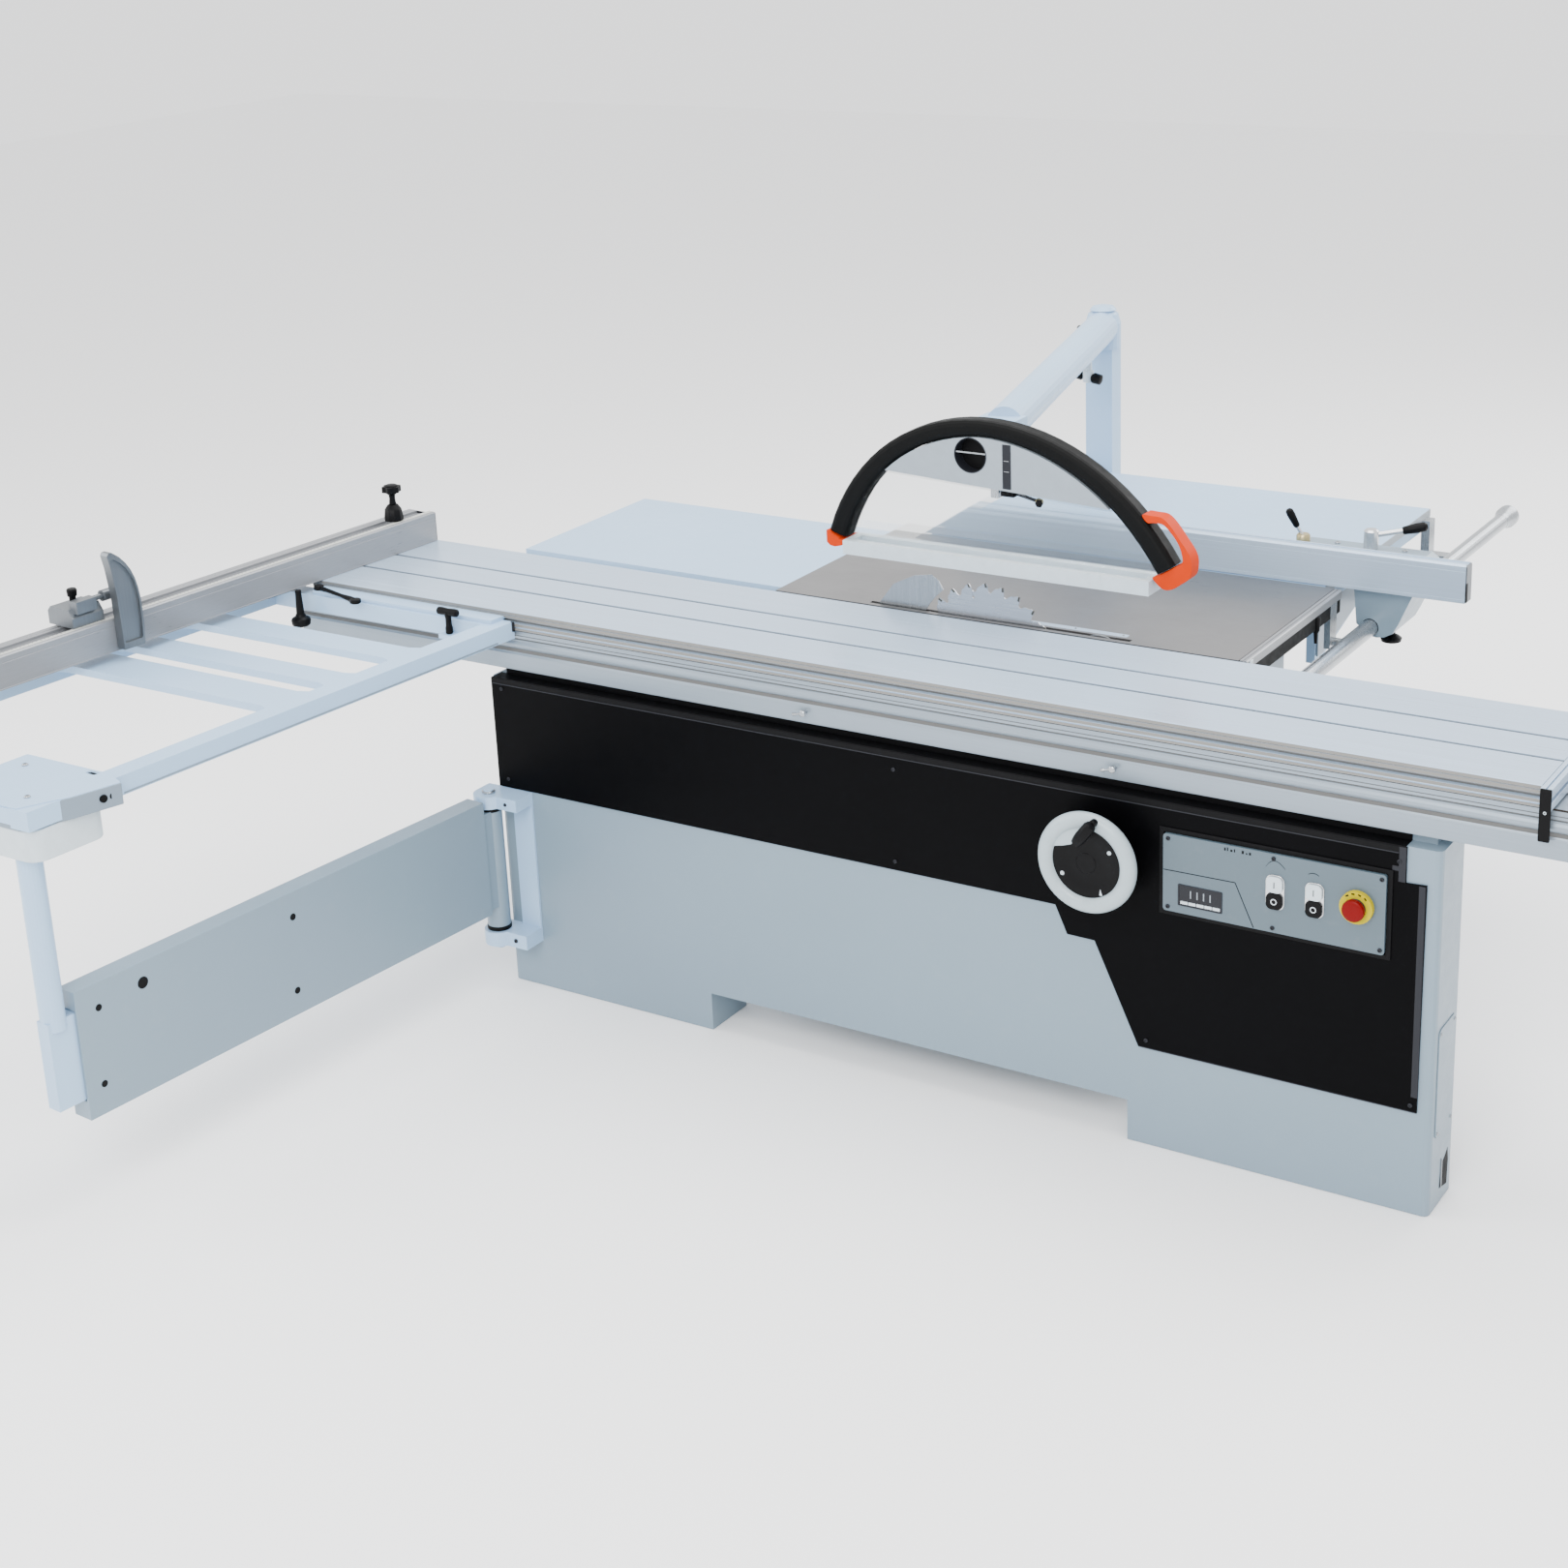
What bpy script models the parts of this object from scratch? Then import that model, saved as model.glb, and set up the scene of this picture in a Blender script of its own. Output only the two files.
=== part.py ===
"""Panel saw: a sliding-table format saw with crosscut frame, rip fence and overhead guard.

Metres, +Z up.  X runs along the sliding carriage (+X is the operator's end), +Y points away from
the front of the machine.  Everything is drawn from the front cabinet's lower left corner, and the
last step moves it so that the row's origin is on the floor under the middle of that cabinet's left leg.
"""
import math

import bmesh
import bpy
from mathutils import Matrix, Vector

# ---- driving dimensions ----
ORIGIN = Vector((0.270, 0.065, 0.0))
GAP = 0.0005
TABLE_Z = 0.880
BASE_X = 2.115
BASE_Y = 0.130
BASE_Z = 0.724
LEG_LEFT = 0.540
LEG_RIGHT = 1.515
LEG_Z = 0.086
BAYS = ((0.010, 0.532, 0.010), (0.538, 1.022, 0.094), (1.028, 1.512, 0.094), (1.518, 2.105, 0.010))
RAIL_X0 = -0.550
RAIL_X1 = 2.420
RAIL_Z0 = 0.745
RAIL_Z1 = 0.836
CARRIAGE_X0 = -0.500
CARRIAGE_X1 = 2.279
CARRIAGE_Y = 0.366
CARRIAGE_Z0 = 0.8393
MAIN_X0 = 0.505
MAIN_X1 = 1.576
MAIN_Y0 = 0.372
MAIN_Y1 = 0.885
SLOT_X0 = 0.735
SLOT_X1 = 1.339
BLADE_Y = 0.390
BLADE_X = 1.0125
BLADE_Z = 0.800
BLADE_R = 0.1575
BLADE_T = 0.0032
TEETH = 24
SCORE_X = 1.270
SCORE_R = 0.0605
SCORE_Z = 0.822
MOTOR_X = 1.240
MOTOR_Z = 0.600
BODY_X0 = 0.600
BODY_X1 = 1.500
BODY_Y1 = 0.800
BODY_Z0 = 0.140
FENCE_Y0 = 0.890
GUIDE_X = 1.640
GUIDE_Z = 0.790
GUIDE_R = 0.018
ARC_X = 1.0719
ARC_Z = 0.8379
ARC_RX = 0.4424
ARC_RZ = 0.4678
ARC_LEAN = -0.1123
ARC_DEPTH = 0.034
POST_X = 0.695
POST_Y = 1.600
FRAME_Z0 = 0.822
FRAME_Z1 = 0.860
FRAME_X0 = -0.620
FRAME_X1 = 0.078
FRAME_SKEW = 0.0875
FRAME_Y0 = -1.250
XFENCE_X0 = -0.570
XFENCE_X1 = -0.480
XFENCE_PIVOT_Y = -0.130
XFENCE_PIVOT = Vector((-0.495, XFENCE_PIVOT_Y, 0.0))
XFENCE_REST = math.radians(-5.2)
ARM_X = 0.004
ARM_Y = -0.045
ARM_REST = math.radians(-5.0)
ARM_REACH = 1.165
WHEEL_X = 1.461
WHEEL_Z = 0.599
PLATE_Y = -0.0125

SLOTS = {
    "paint": (0.55, 0.63, 0.68, 1.0, 0.0, 0.35),
    "paint_light": (0.68, 0.78, 0.84, 1.0, 0.0, 0.35),
    "paint_black": (0.01, 0.01, 0.012, 1.0, 0.0, 0.35),
    "aluminium": (0.75, 0.77, 0.79, 1.0, 1.0, 0.35),
    "iron": (0.42, 0.40, 0.38, 1.0, 1.0, 0.4),
    "steel": (0.60, 0.61, 0.62, 1.0, 1.0, 0.25),
    "black_plastic": (0.02, 0.02, 0.022, 1.0, 0.0, 0.45),
    "grey_plastic": (0.62, 0.65, 0.67, 1.0, 0.0, 0.4),
    "white_plastic": (0.85, 0.86, 0.86, 1.0, 0.0, 0.4),
    "red_plastic": (0.75, 0.03, 0.01, 1.0, 0.0, 0.35),
    "orange_plastic": (0.95, 0.10, 0.01, 1.0, 0.0, 0.35),
    "yellow_plastic": (0.85, 0.75, 0.03, 1.0, 0.0, 0.35),
    "clear": (0.85, 0.92, 0.95, 0.35, 0.0, 0.05),
    "rubber": (0.015, 0.016, 0.018, 1.0, 0.0, 0.6),
}


def clear_scene():
    for obj in list(bpy.data.objects):
        bpy.data.objects.remove(obj, do_unlink=True)


def make_material(slot):
    found = bpy.data.materials.get(slot)
    if found:
        return found
    red, green, blue, alpha, metal, rough = SLOTS[slot]
    mat = bpy.data.materials.new(slot)
    mat.use_nodes = True
    shader = mat.node_tree.nodes["Principled BSDF"]
    shader.inputs["Base Color"].default_value = (red, green, blue, 1.0)
    shader.inputs["Metallic"].default_value = metal
    shader.inputs["Roughness"].default_value = rough
    shader.inputs["Alpha"].default_value = alpha
    return mat


# ---- simple closed shapes, each returned as a bmesh ----
def prism(points, axis, low, high):
    """Extrude a flat outline along an axis: points are the two other coordinates, in X, Y, Z order."""
    def place(pair, depth):
        if axis == "X":
            return (depth, pair[0], pair[1])
        if axis == "Y":
            return (pair[0], depth, pair[1])
        return (pair[0], pair[1], depth)
    mesh = bmesh.new()
    first = [mesh.verts.new(place(p, low)) for p in points]
    second = [mesh.verts.new(place(p, high)) for p in points]
    count = len(points)
    mesh.faces.new(first)
    mesh.faces.new(second[::-1])
    for i in range(count):
        j = (i + 1) % count
        mesh.faces.new((first[i], second[i], second[j], first[j]))
    bmesh.ops.recalc_face_normals(mesh, faces=mesh.faces)
    return mesh


def box(x0, x1, y0, y1, z0, z1):
    return prism([(x0, y0), (x1, y0), (x1, y1), (x0, y1)], "Z", z0, z1)


def round_outline(x0, x1, y0, y1, radius, steps=4):
    points = []
    corners = [(x1 - radius, y1 - radius, 0), (x0 + radius, y1 - radius, 90),
               (x0 + radius, y0 + radius, 180), (x1 - radius, y0 + radius, 270)]
    for cx, cy, start in corners:
        for i in range(steps + 1):
            angle = math.radians(start + 90 * i / steps)
            points.append((cx + radius * math.cos(angle), cy + radius * math.sin(angle)))
    return points


def circle(cx, cy, radius, steps=24):
    return [(cx + radius * math.cos(math.tau * i / steps), cy + radius * math.sin(math.tau * i / steps))
            for i in range(steps)]


def rod(axis, centre, radius, low, high, steps=24):
    return prism(circle(centre[0], centre[1], radius, steps), axis, low, high)


def lathe(axis, centre, profile, steps=24):
    """Turn a profile of (distance along the axis, radius) pairs into a solid; the ends are closed."""
    mesh = bmesh.new()
    rings = []
    for depth, radius in profile:
        ring = []
        for i in range(steps):
            angle = math.tau * i / steps
            a = centre[0] + radius * math.cos(angle)
            b = centre[1] + radius * math.sin(angle)
            spot = {"X": (depth, a, b), "Y": (a, depth, b), "Z": (a, b, depth)}[axis]
            ring.append(mesh.verts.new(spot))
        rings.append(ring)
    mesh.faces.new(rings[0])
    mesh.faces.new(rings[-1][::-1])
    for ring, following in zip(rings, rings[1:]):
        for i in range(steps):
            j = (i + 1) % steps
            mesh.faces.new((ring[i], following[i], following[j], ring[j]))
    bmesh.ops.recalc_face_normals(mesh, faces=mesh.faces)
    return mesh


def bar(start, end, radius, steps=16):
    """A round bar between two points."""
    start = Vector(start)
    way = Vector(end) - start
    mesh = rod("Z", (0, 0), radius, 0.0, way.length, steps)
    mesh.transform(Matrix.Translation(start) @ way.to_track_quat("Z", "Y").to_matrix().to_4x4())
    return mesh


def mesh_object(name, shape):
    data = bpy.data.meshes.new(name)
    shape.to_mesh(data)
    shape.free()
    obj = bpy.data.objects.new(name, data)
    bpy.context.scene.collection.objects.link(obj)
    return obj


def swung(point):
    """A point of the square crosscut fence, turned with it about its pivot to its rest angle."""
    turn = Matrix.Rotation(XFENCE_REST, 3, "Z")
    return turn @ (Vector(point) - XFENCE_PIVOT) + XFENCE_PIVOT


def solid(name, slot, adds, cuts=(), pivot=(0.0, 0.0, 0.0), turn=0.0, skew=0.0, swing=False):
    """Join the added shapes, take the cut shapes away, and put the object's origin on its pivot."""
    obj = mesh_object(name, adds[0])
    tools = []
    for kind, shapes in (("UNION", adds[1:]), ("DIFFERENCE", cuts)):
        for shape in shapes:
            tool = mesh_object("tool", shape)
            step = obj.modifiers.new("step", "BOOLEAN")
            step.operation = kind
            step.solver = "EXACT"
            step.object = tool
            tools.append(tool)
    graph = bpy.context.evaluated_depsgraph_get()
    data = bpy.data.meshes.new_from_object(obj.evaluated_get(graph))
    obj.modifiers.clear()
    obj.data = data
    data.name = name
    for tool in tools:
        bpy.data.objects.remove(tool, do_unlink=True)
    place = Vector(pivot)
    if skew:
        lean = Matrix.Identity(4)
        lean[0][1] = skew
        data.transform(lean)
    data.transform(Matrix.Translation(-place))
    if swing:
        data.transform(Matrix.Rotation(XFENCE_REST, 4, "Z"))
        place = swung(place)
    if turn:
        data.transform(Matrix.Rotation(turn, 4, "Z"))
    obj.location = place - ORIGIN
    data.materials.clear()
    data.materials.append(make_material(slot))
    return obj


# ---- front cabinet, rail and carriage ----
def front_cabinet():
    outline = round_outline(0.0, BASE_X, 0.0, BASE_Y, 0.012, 3)
    adds = [prism(outline, "Z", 0.0, BASE_Z), box(0.020, BASE_X - 0.020, 0.030, 0.120, 0.700, RAIL_Z0 - GAP)]
    cuts = [box(LEG_LEFT, LEG_RIGHT, -0.02, BASE_Y + 0.02, -0.02, LEG_Z)]
    for x0, x1, z0 in BAYS:
        cuts.append(box(x0, x1, 0.006, BASE_Y + 0.02, z0, 0.690))
    cuts.append(rod("Y", (WHEEL_X, WHEEL_Z), 0.016, -0.02, 0.03))
    solid("base_cabinet", "paint", adds, cuts)
    panel = [(0.003, 0.723), (0.003, 0.470), (1.365, 0.470), (1.390, 0.413), (1.448, 0.412), (1.540, 0.209),
             (2.088, 0.209), (2.090, 0.657), (2.052, 0.655), (2.052, 0.723)]
    solid("front_panel", "paint_black", [prism(panel, "Y", -0.0043, -0.0003)],
          [rod("Y", (WHEEL_X, WHEEL_Z), 0.016, -0.02, 0.01)])


def lower_rail():
    outline = [(0.006, RAIL_Z0), (0.160, RAIL_Z0), (0.270, 0.810), (0.270, RAIL_Z1), (0.006, RAIL_Z1),
               (0.006, 0.800), (0.002, 0.796), (0.002, 0.787), (0.010, 0.781), (0.010, 0.760), (0.006, 0.756)]
    cuts = [box(RAIL_X0 - 0.1, RAIL_X1 + 0.1, 0.020, 0.130, 0.757, 0.824),
            box(RAIL_X0 - 0.1, RAIL_X1 + 0.1, 0.142, 0.200, 0.784, 0.824)]
    solid("lower_rail", "aluminium", [prism(outline, "X", RAIL_X0, RAIL_X1)], cuts)
    for name, x in (("rail_lock_left", 0.806), ("rail_lock_right", 1.486)):
        z = 0.7700
        solid(name, "steel", [rod("Y", (x, z), 0.0060, -0.010, 0.0095, 16),
                              box(x - 0.024, x, -0.010, -0.005, z - 0.0065, z + 0.0010)],
              pivot=(x, 0.0, z))


def carriage():
    def groove(middle):
        return [(middle + 0.005, TABLE_Z), (middle + 0.005, 0.874), (middle + 0.011, 0.874),
                (middle + 0.011, 0.864), (middle - 0.011, 0.864), (middle - 0.011, 0.874),
                (middle - 0.005, 0.874), (middle - 0.005, TABLE_Z)]
    outline = [(0.0, CARRIAGE_Z0), (0.060, CARRIAGE_Z0), (0.060, 0.853), (0.255, 0.853), (0.255, CARRIAGE_Z0),
               (0.280, CARRIAGE_Z0), (0.280, 0.868), (CARRIAGE_Y, 0.868), (CARRIAGE_Y, TABLE_Z)]
    outline += groove(0.229) + groove(0.126)
    outline += [(0.0, TABLE_Z), (0.0, 0.871), (0.010, 0.871), (0.010, 0.859), (0.0, 0.859)]
    solid("carriage", "aluminium", [prism(outline, "X", CARRIAGE_X0, CARRIAGE_X1)])
    x0 = CARRIAGE_X1 + GAP
    solid("carriage_end", "aluminium", [box(x0, x0 + 0.020, -0.014, 0.279, 0.8398, 0.8795),
                                        box(x0, x0 + 0.020, -0.014, -0.001, 0.783, 0.850)])
    adds = [box(0.25, 1.61, 0.075, 0.245, 0.8420, 0.8470)]
    for i in range(8):
        adds.append(rod("Y", (0.32 + 0.174 * i, 0.8446), 0.0076, 0.070, 0.250, 12))
    solid("roller_cage", "steel", adds)


# ---- tables ----
def main_table():
    adds = [box(MAIN_X0, MAIN_X1, MAIN_Y0, MAIN_Y1, 0.840, TABLE_Z)]
    wedge = [(0.396, 0.80), (0.396, 0.890), (0.384, 0.890), (0.384, 0.8785), (0.3055, 0.80)]
    cuts = [prism(wedge, "X", SLOT_X0, SLOT_X1)]
    for i in range(4):
        x0 = 0.525 + i * 0.262
        for y0, y1 in ((0.475, 0.655), (0.675, 0.865)):
            cuts.append(box(x0, x0 + 0.242, y0, y1, 0.83, 0.862))
    cuts.append(box(1.020, 1.068, 0.490, 0.562, 0.83, 0.856))
    solid("main_table", "iron", adds, cuts)


def side_tables():
    adds = [box(-0.200, MAIN_X0 - GAP, 0.396, 0.870, 0.858, TABLE_Z - GAP),
            prism([(-0.05, 0.860), (0.500, 0.860), (0.500, 0.700), (0.470, 0.700)], "Y", 0.600, 0.630)]
    solid("left_table", "paint_light", adds)
    adds = [box(0.600, 1.553, MAIN_Y1 + GAP, 1.552, 0.858, TABLE_Z - GAP)]
    for x0 in (0.630, 1.510):
        adds.append(prism([(0.900, 0.860), (1.500, 0.860), (0.930, 0.700), (0.900, 0.700)], "X", x0, x0 + 0.020))
    solid("rear_table", "paint_light", adds)


def guide_rail():
    adds = [rod("Y", (GUIDE_X, GUIDE_Z), GUIDE_R, 0.520, 1.846),
            lathe("Y", (GUIDE_X, GUIDE_Z), [(1.845, 0.020), (1.850, 0.026), (1.871, 0.026), (1.878, 0.020)])]
    for y in (1.180, 1.510):
        adds.append(box(1.5535, GUIDE_X + 0.004, y - 0.018, y + 0.018, 0.762, 0.787))
        adds.append(box(1.5535, 1.5735, y - 0.018, y + 0.018, 0.770, 0.866))
    adds.append(rod("X", (0.845, 0.776), 0.009, 1.5765, GUIDE_X, 16))
    adds.append(box(1.5765, 1.5900, 0.827, 0.863, 0.764, 0.872))
    solid("guide_rail", "steel", adds)


# ---- main body and saw unit ----
def main_body():
    wall = 0.006
    side = [(0.1305, BODY_Z0), (BODY_Y1, BODY_Z0), (BODY_Y1, 0.8393), (0.346, 0.8393), (0.346, 0.744),
            (0.1305, 0.744)]
    adds = [prism(side, "X", BODY_X0, BODY_X0 + wall), prism(side, "X", BODY_X1 - wall, BODY_X1),
            box(BODY_X0 + 0.001, BODY_X1 - 0.001, BODY_Y1 - wall, BODY_Y1, BODY_Z0, 0.8393),
            box(BODY_X0 + 0.001, BODY_X1 - 0.001, 0.1305, 0.1305 + wall, BODY_Z0, 0.744),
            box(BODY_X0 + 0.001, BODY_X1 - 0.001, 0.1305, BODY_Y1, BODY_Z0, BODY_Z0 + wall),
            box(0.640, 1.460, 0.450, 0.780, 0.0, BODY_Z0 + 0.003)]
    cuts = [box(0.648, 1.452, 0.458, 0.772, 0.010, BODY_Z0 + 0.010),
            box(0.760, 1.340, 0.780, 0.820, 0.200, 0.700),
            rod("X", (0.600, 0.300), 0.056, BODY_X0 - 0.01, BODY_X0 + 0.02)]
    solid("main_body", "paint", adds, cuts)
    solid("rear_door", "paint", [box(0.763, 1.337, 0.7955, 0.7995, 0.203, 0.697)], pivot=(0.763, 0.7995, 0.45))
    pipe = [rod("X", (0.600, 0.300), 0.060, 0.470, 0.5995, 32), rod("X", (0.600, 0.300), 0.078, 0.592, 0.5995, 32)]
    solid("dust_outlet", "steel", pipe, [rod("X", (0.600, 0.300), 0.0565, 0.40, 0.70, 32)])


def saw_blade():
    outline = []
    for i in range(TEETH):
        start = math.tau * i / TEETH
        for share, radius in ((0.00, BLADE_R), (0.22, BLADE_R - 0.003), (0.34, BLADE_R - 0.016),
                              (0.72, BLADE_R - 0.013), (0.94, BLADE_R - 0.009)):
            angle = start + share * math.tau / TEETH
            outline.append((BLADE_X + radius * math.cos(angle), BLADE_Z + radius * math.sin(angle)))
    solid("main_blade", "steel", [prism(outline, "Y", BLADE_Y - BLADE_T / 2, BLADE_Y + BLADE_T / 2)],
          [rod("Y", (BLADE_X, BLADE_Z), 0.0150, 0.3, 0.5)], pivot=(BLADE_X, BLADE_Y, BLADE_Z))
    arbor = [(0.3620, 0.018), (0.3740, 0.018), (0.3741, 0.032), (0.3880, 0.032), (0.3881, 0.0146),
             (0.3919, 0.0146), (0.3920, 0.032), (0.3995, 0.032), (0.3996, 0.0145), (0.5049, 0.0145),
             (0.5050, 0.040), (0.5120, 0.040), (0.5160, 0.035), (0.5340, 0.035), (0.5380, 0.040), (0.5450, 0.040)]
    solid("main_arbor", "steel", [lathe("Y", (BLADE_X, BLADE_Z), arbor)], pivot=(BLADE_X, BLADE_Y, BLADE_Z))


def saw_cradle():
    side = [(0.385, 0.800), (0.470, 0.830), (0.750, 0.620), (0.750, 0.550), (0.440, 0.550)]
    adds = [prism(side, "X", 0.660, 0.672), prism(side, "X", 1.428, 1.440),
            box(0.661, 1.439, 0.715, 0.745, 0.560, 0.600),
            box(1.268, 1.430, 0.415, 0.460, 0.802, 0.828),
            rod("Y", (SCORE_X, SCORE_Z), 0.0155, 0.410, 0.465)]
    solid("saw_cradle", "iron", adds, [rod("Y", (SCORE_X, SCORE_Z), 0.0107, 0.38, 0.48)],
          pivot=(BLADE_X, BLADE_Y, TABLE_Z))
    profile = [(BLADE_Y - 0.0120, 0.012), (BLADE_Y - 0.0017, 0.0165), (BLADE_Y - 0.0016, SCORE_R),
               (BLADE_Y + 0.0016, SCORE_R), (BLADE_Y + 0.0017, 0.0165), (0.4050, 0.0165), (0.4051, 0.0100),
               (0.4699, 0.0100), (0.4700, 0.0165), (0.4900, 0.0165)]
    solid("scoring_unit", "steel", [lathe("Y", (SCORE_X, SCORE_Z), profile)], pivot=(SCORE_X, BLADE_Y, SCORE_Z))


def saw_carrier():
    adds = [prism([(0.900, 0.530), (1.330, 0.530), (1.330, 0.680), (1.120, 0.830), (0.900, 0.830)], "Y",
                  0.466, 0.480),
            rod("Y", (BLADE_X, BLADE_Z), 0.030, 0.405, 0.498),
            box(0.790, 0.930, 0.3935, 0.480, 0.690, 0.720),
            box(1.285, 1.310, 0.470, 0.5597, 0.620, 0.645),
            box(1.225, 1.250, 0.470, 0.5597, 0.532, 0.552)]
    solid("saw_carrier", "iron", adds, [rod("Y", (BLADE_X, BLADE_Z), 0.0150, 0.38, 0.52)],
          pivot=(BLADE_X, BLADE_Y, BLADE_Z))
    motor = [(0.5600, 0.060), (0.5700, 0.072), (0.5760, 0.075), (0.6600, 0.075), (0.6660, 0.070), (0.7000, 0.066)]
    cuts = []
    for i in range(10):
        cuts.append(rod("Y", (MOTOR_X + 0.080 * math.cos(math.tau * i / 10), MOTOR_Z + 0.080
                        * math.sin(math.tau * i / 10)), 0.011, 0.590, 0.650, 8))
    solid("motor", "paint", [lathe("Y", (MOTOR_X, MOTOR_Z), motor, 32)], cuts)
    pulley = [(0.5050, 0.035), (0.5120, 0.035), (0.5160, 0.030), (0.5340, 0.030), (0.5380, 0.035), (0.5450, 0.035),
              (0.5451, 0.012), (0.5592, 0.012)]
    solid("motor_pulley", "steel", [lathe("Y", (MOTOR_X, MOTOR_Z), pulley)], pivot=(MOTOR_X, 0.525, MOTOR_Z))
    drive_belt()
    inner = [(BLADE_X + 0.1645 * math.cos(math.radians(a)), BLADE_Z + 0.1645 * math.sin(math.radians(a)))
             for a in range(200, 127, -8)]
    outer = [(BLADE_X + r * math.cos(math.radians(a)), BLADE_Z + r * math.sin(math.radians(a)))
             for a, r in ((127, 0.185), (129, 0.205), (138, 0.228), (150, 0.255), (163, 0.270), (182, 0.262),
                          (200, 0.235))]
    solid("riving_knife", "steel", [prism(inner + outer, "Y", BLADE_Y - 0.0013, BLADE_Y + 0.0013)])


def drive_belt():
    centres = ((MOTOR_X, MOTOR_Z, 0.030), (BLADE_X, BLADE_Z, 0.035))
    way = math.atan2(BLADE_Z - MOTOR_Z, BLADE_X - MOTOR_X)

    def loop(extra):
        points = []
        for (cx, cz, radius), start in zip(centres, (way + math.pi / 2, way - math.pi / 2)):
            for i in range(13):
                angle = start + math.pi * i / 12
                points.append((cx + (radius + extra) * math.cos(angle), cz + (radius + extra) * math.sin(angle)))
        return points
    solid("drive_belt", "rubber", [prism(loop(0.0060), "Y", 0.5175, 0.5325)], [prism(loop(0.0008), "Y", 0.5, 0.55)])


# ---- front controls ----
def controls():
    plate = [prism(round_outline(1.593, 2.020, 0.511, 0.666, 0.006, 3), "Y", PLATE_Y, -0.0046)]
    cuts = []
    for x in (1.814, 1.889):
        for z in (0.6085, 0.5755):
            cuts.append(rod("Y", (x, z), 0.0068, -0.03, -0.0070, 16))
    solid("control_plate", "paint", plate, cuts)
    for unit, x in (("saw", 1.814), ("scorer", 1.889)):
        for name, z, slot in (("start", 0.6085, "white_plastic"), ("stop", 0.5755, "black_plastic")):
            cap = prism(round_outline(x - 0.0165, x + 0.0165, z - 0.0155, z + 0.0155, 0.004, 3), "Y", -0.0205, -0.0155)
            solid(name + "_button_" + unit, slot, [cap, rod("Y", (x, z), 0.0060, -0.0160, -0.0105, 16)],
                  pivot=(x, -0.0205, z))
    x, z = 1.969, 0.597
    solid("estop_ring", "yellow_plastic", [rod("Y", (x, z), 0.031, -0.0228, PLATE_Y - 0.0003)],
          [rod("Y", (x, z), 0.0127, -0.04, 0.0)])
    cap = [(-0.0420, 0.014), (-0.0405, 0.019), (-0.0370, 0.021), (-0.0310, 0.021), (-0.0297, 0.018), (-0.0296, 0.0120),
           (-0.0205, 0.0120)]
    solid("estop_button", "red_plastic", [lathe("Y", (x, z), cap)], pivot=(x, -0.0420, z))


def handwheel():
    profile = [(-0.0540, 0.076), (-0.0460, 0.087), (-0.0480, 0.0975), (-0.0600, 0.1015), (-0.0720, 0.0975),
               (-0.0760, 0.089), (-0.0740, 0.080), (-0.0690, 0.076)]
    wheel = bmesh.new()
    rings = []
    steps = 40
    for y, radius in profile:
        rings.append([wheel.verts.new((WHEEL_X + radius * math.cos(math.tau * i / steps), y,
                                       WHEEL_Z + radius * math.sin(math.tau * i / steps))) for i in range(steps)])
    for k, ring in enumerate(rings):
        following = rings[(k + 1) % len(rings)]
        for i in range(steps):
            j = (i + 1) % steps
            wheel.faces.new((ring[i], following[i], following[j], ring[j]))
    bmesh.ops.recalc_face_normals(wheel, faces=wheel.faces)
    adds = [wheel, rod("Y", (WHEEL_X, WHEEL_Z), 0.078, -0.0660, -0.0560, 40),
            rod("Y", (WHEEL_X, WHEEL_Z), 0.030, -0.0700, -0.0200), rod("Y", (WHEEL_X, WHEEL_Z), 0.0140, -0.0300, 0.080)]
    solid("handwheel", "grey_plastic", adds, pivot=(WHEEL_X, 0.0, WHEEL_Z))
    start = Vector((1.4840, -0.0895, 0.6900))
    end = Vector((1.4500, -0.0895, 0.6450))
    way = (end - start).normalized()
    adds = [bar(start, end, 0.0110), bar(start + way * 0.012, end, 0.0125)]
    solid("handwheel_handle", "black_plastic", adds, pivot=start)


# ---- rip fence ----
def rip_fence():
    y0 = FENCE_Y0
    face = [(y0, 0.8815), (y0 + 0.034, 0.8815), (y0 + 0.034, 0.905), (y0 + 0.026, 0.905), (y0 + 0.026, 0.915),
            (y0 + 0.034, 0.915), (y0 + 0.034, 0.9590), (y0 + 0.030, 0.9640), (y0 + 0.004, 0.9640), (y0, 0.9600)]
    plate = prism(face, "X", 0.564, 1.855)
    slant = prism([(0.50, 0.870), (0.5660, 0.870), (0.7200, 0.970), (0.50, 0.970)], "Y", y0 - 0.02, y0 + 0.06)
    solid("rip_fence", "aluminium", [plate], [slant], pivot=(1.2, y0, 0.92))
    adds = [box(1.430, 1.740, y0 + 0.035, 1.070, 0.8815, 0.930),
            box(1.600, 1.700, y0 + 0.035, 1.070, GUIDE_Z, 0.890),
            box(1.646, 1.700, y0 + 0.035, 1.070, 0.764, 0.800)]
    solid("fence_base", "iron", adds, [rod("Y", (GUIDE_X, GUIDE_Z), 0.0186, 0.85, 1.10)], pivot=(GUIDE_X, 1.0, GUIDE_Z))
    x, y = 1.465, 0.985
    adds = [rod("Z", (x, y), 0.014, 0.9303, 0.962, 16), bar((x, y, 0.952), (x - 0.030, y - 0.015, 1.010), 0.0075)]
    solid("fence_lever", "black_plastic", adds, pivot=(x, y, 0.94))
    x, y = 1.600, 1.030
    adds = [rod("Z", (x, y), 0.016, 0.9303, 0.975, 16), bar((x, y, 0.967), (x + 0.110, y + 0.045, 0.985), 0.0080)]
    solid("fence_rail_lever", "steel", adds, pivot=(x, y, 0.94))


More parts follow.
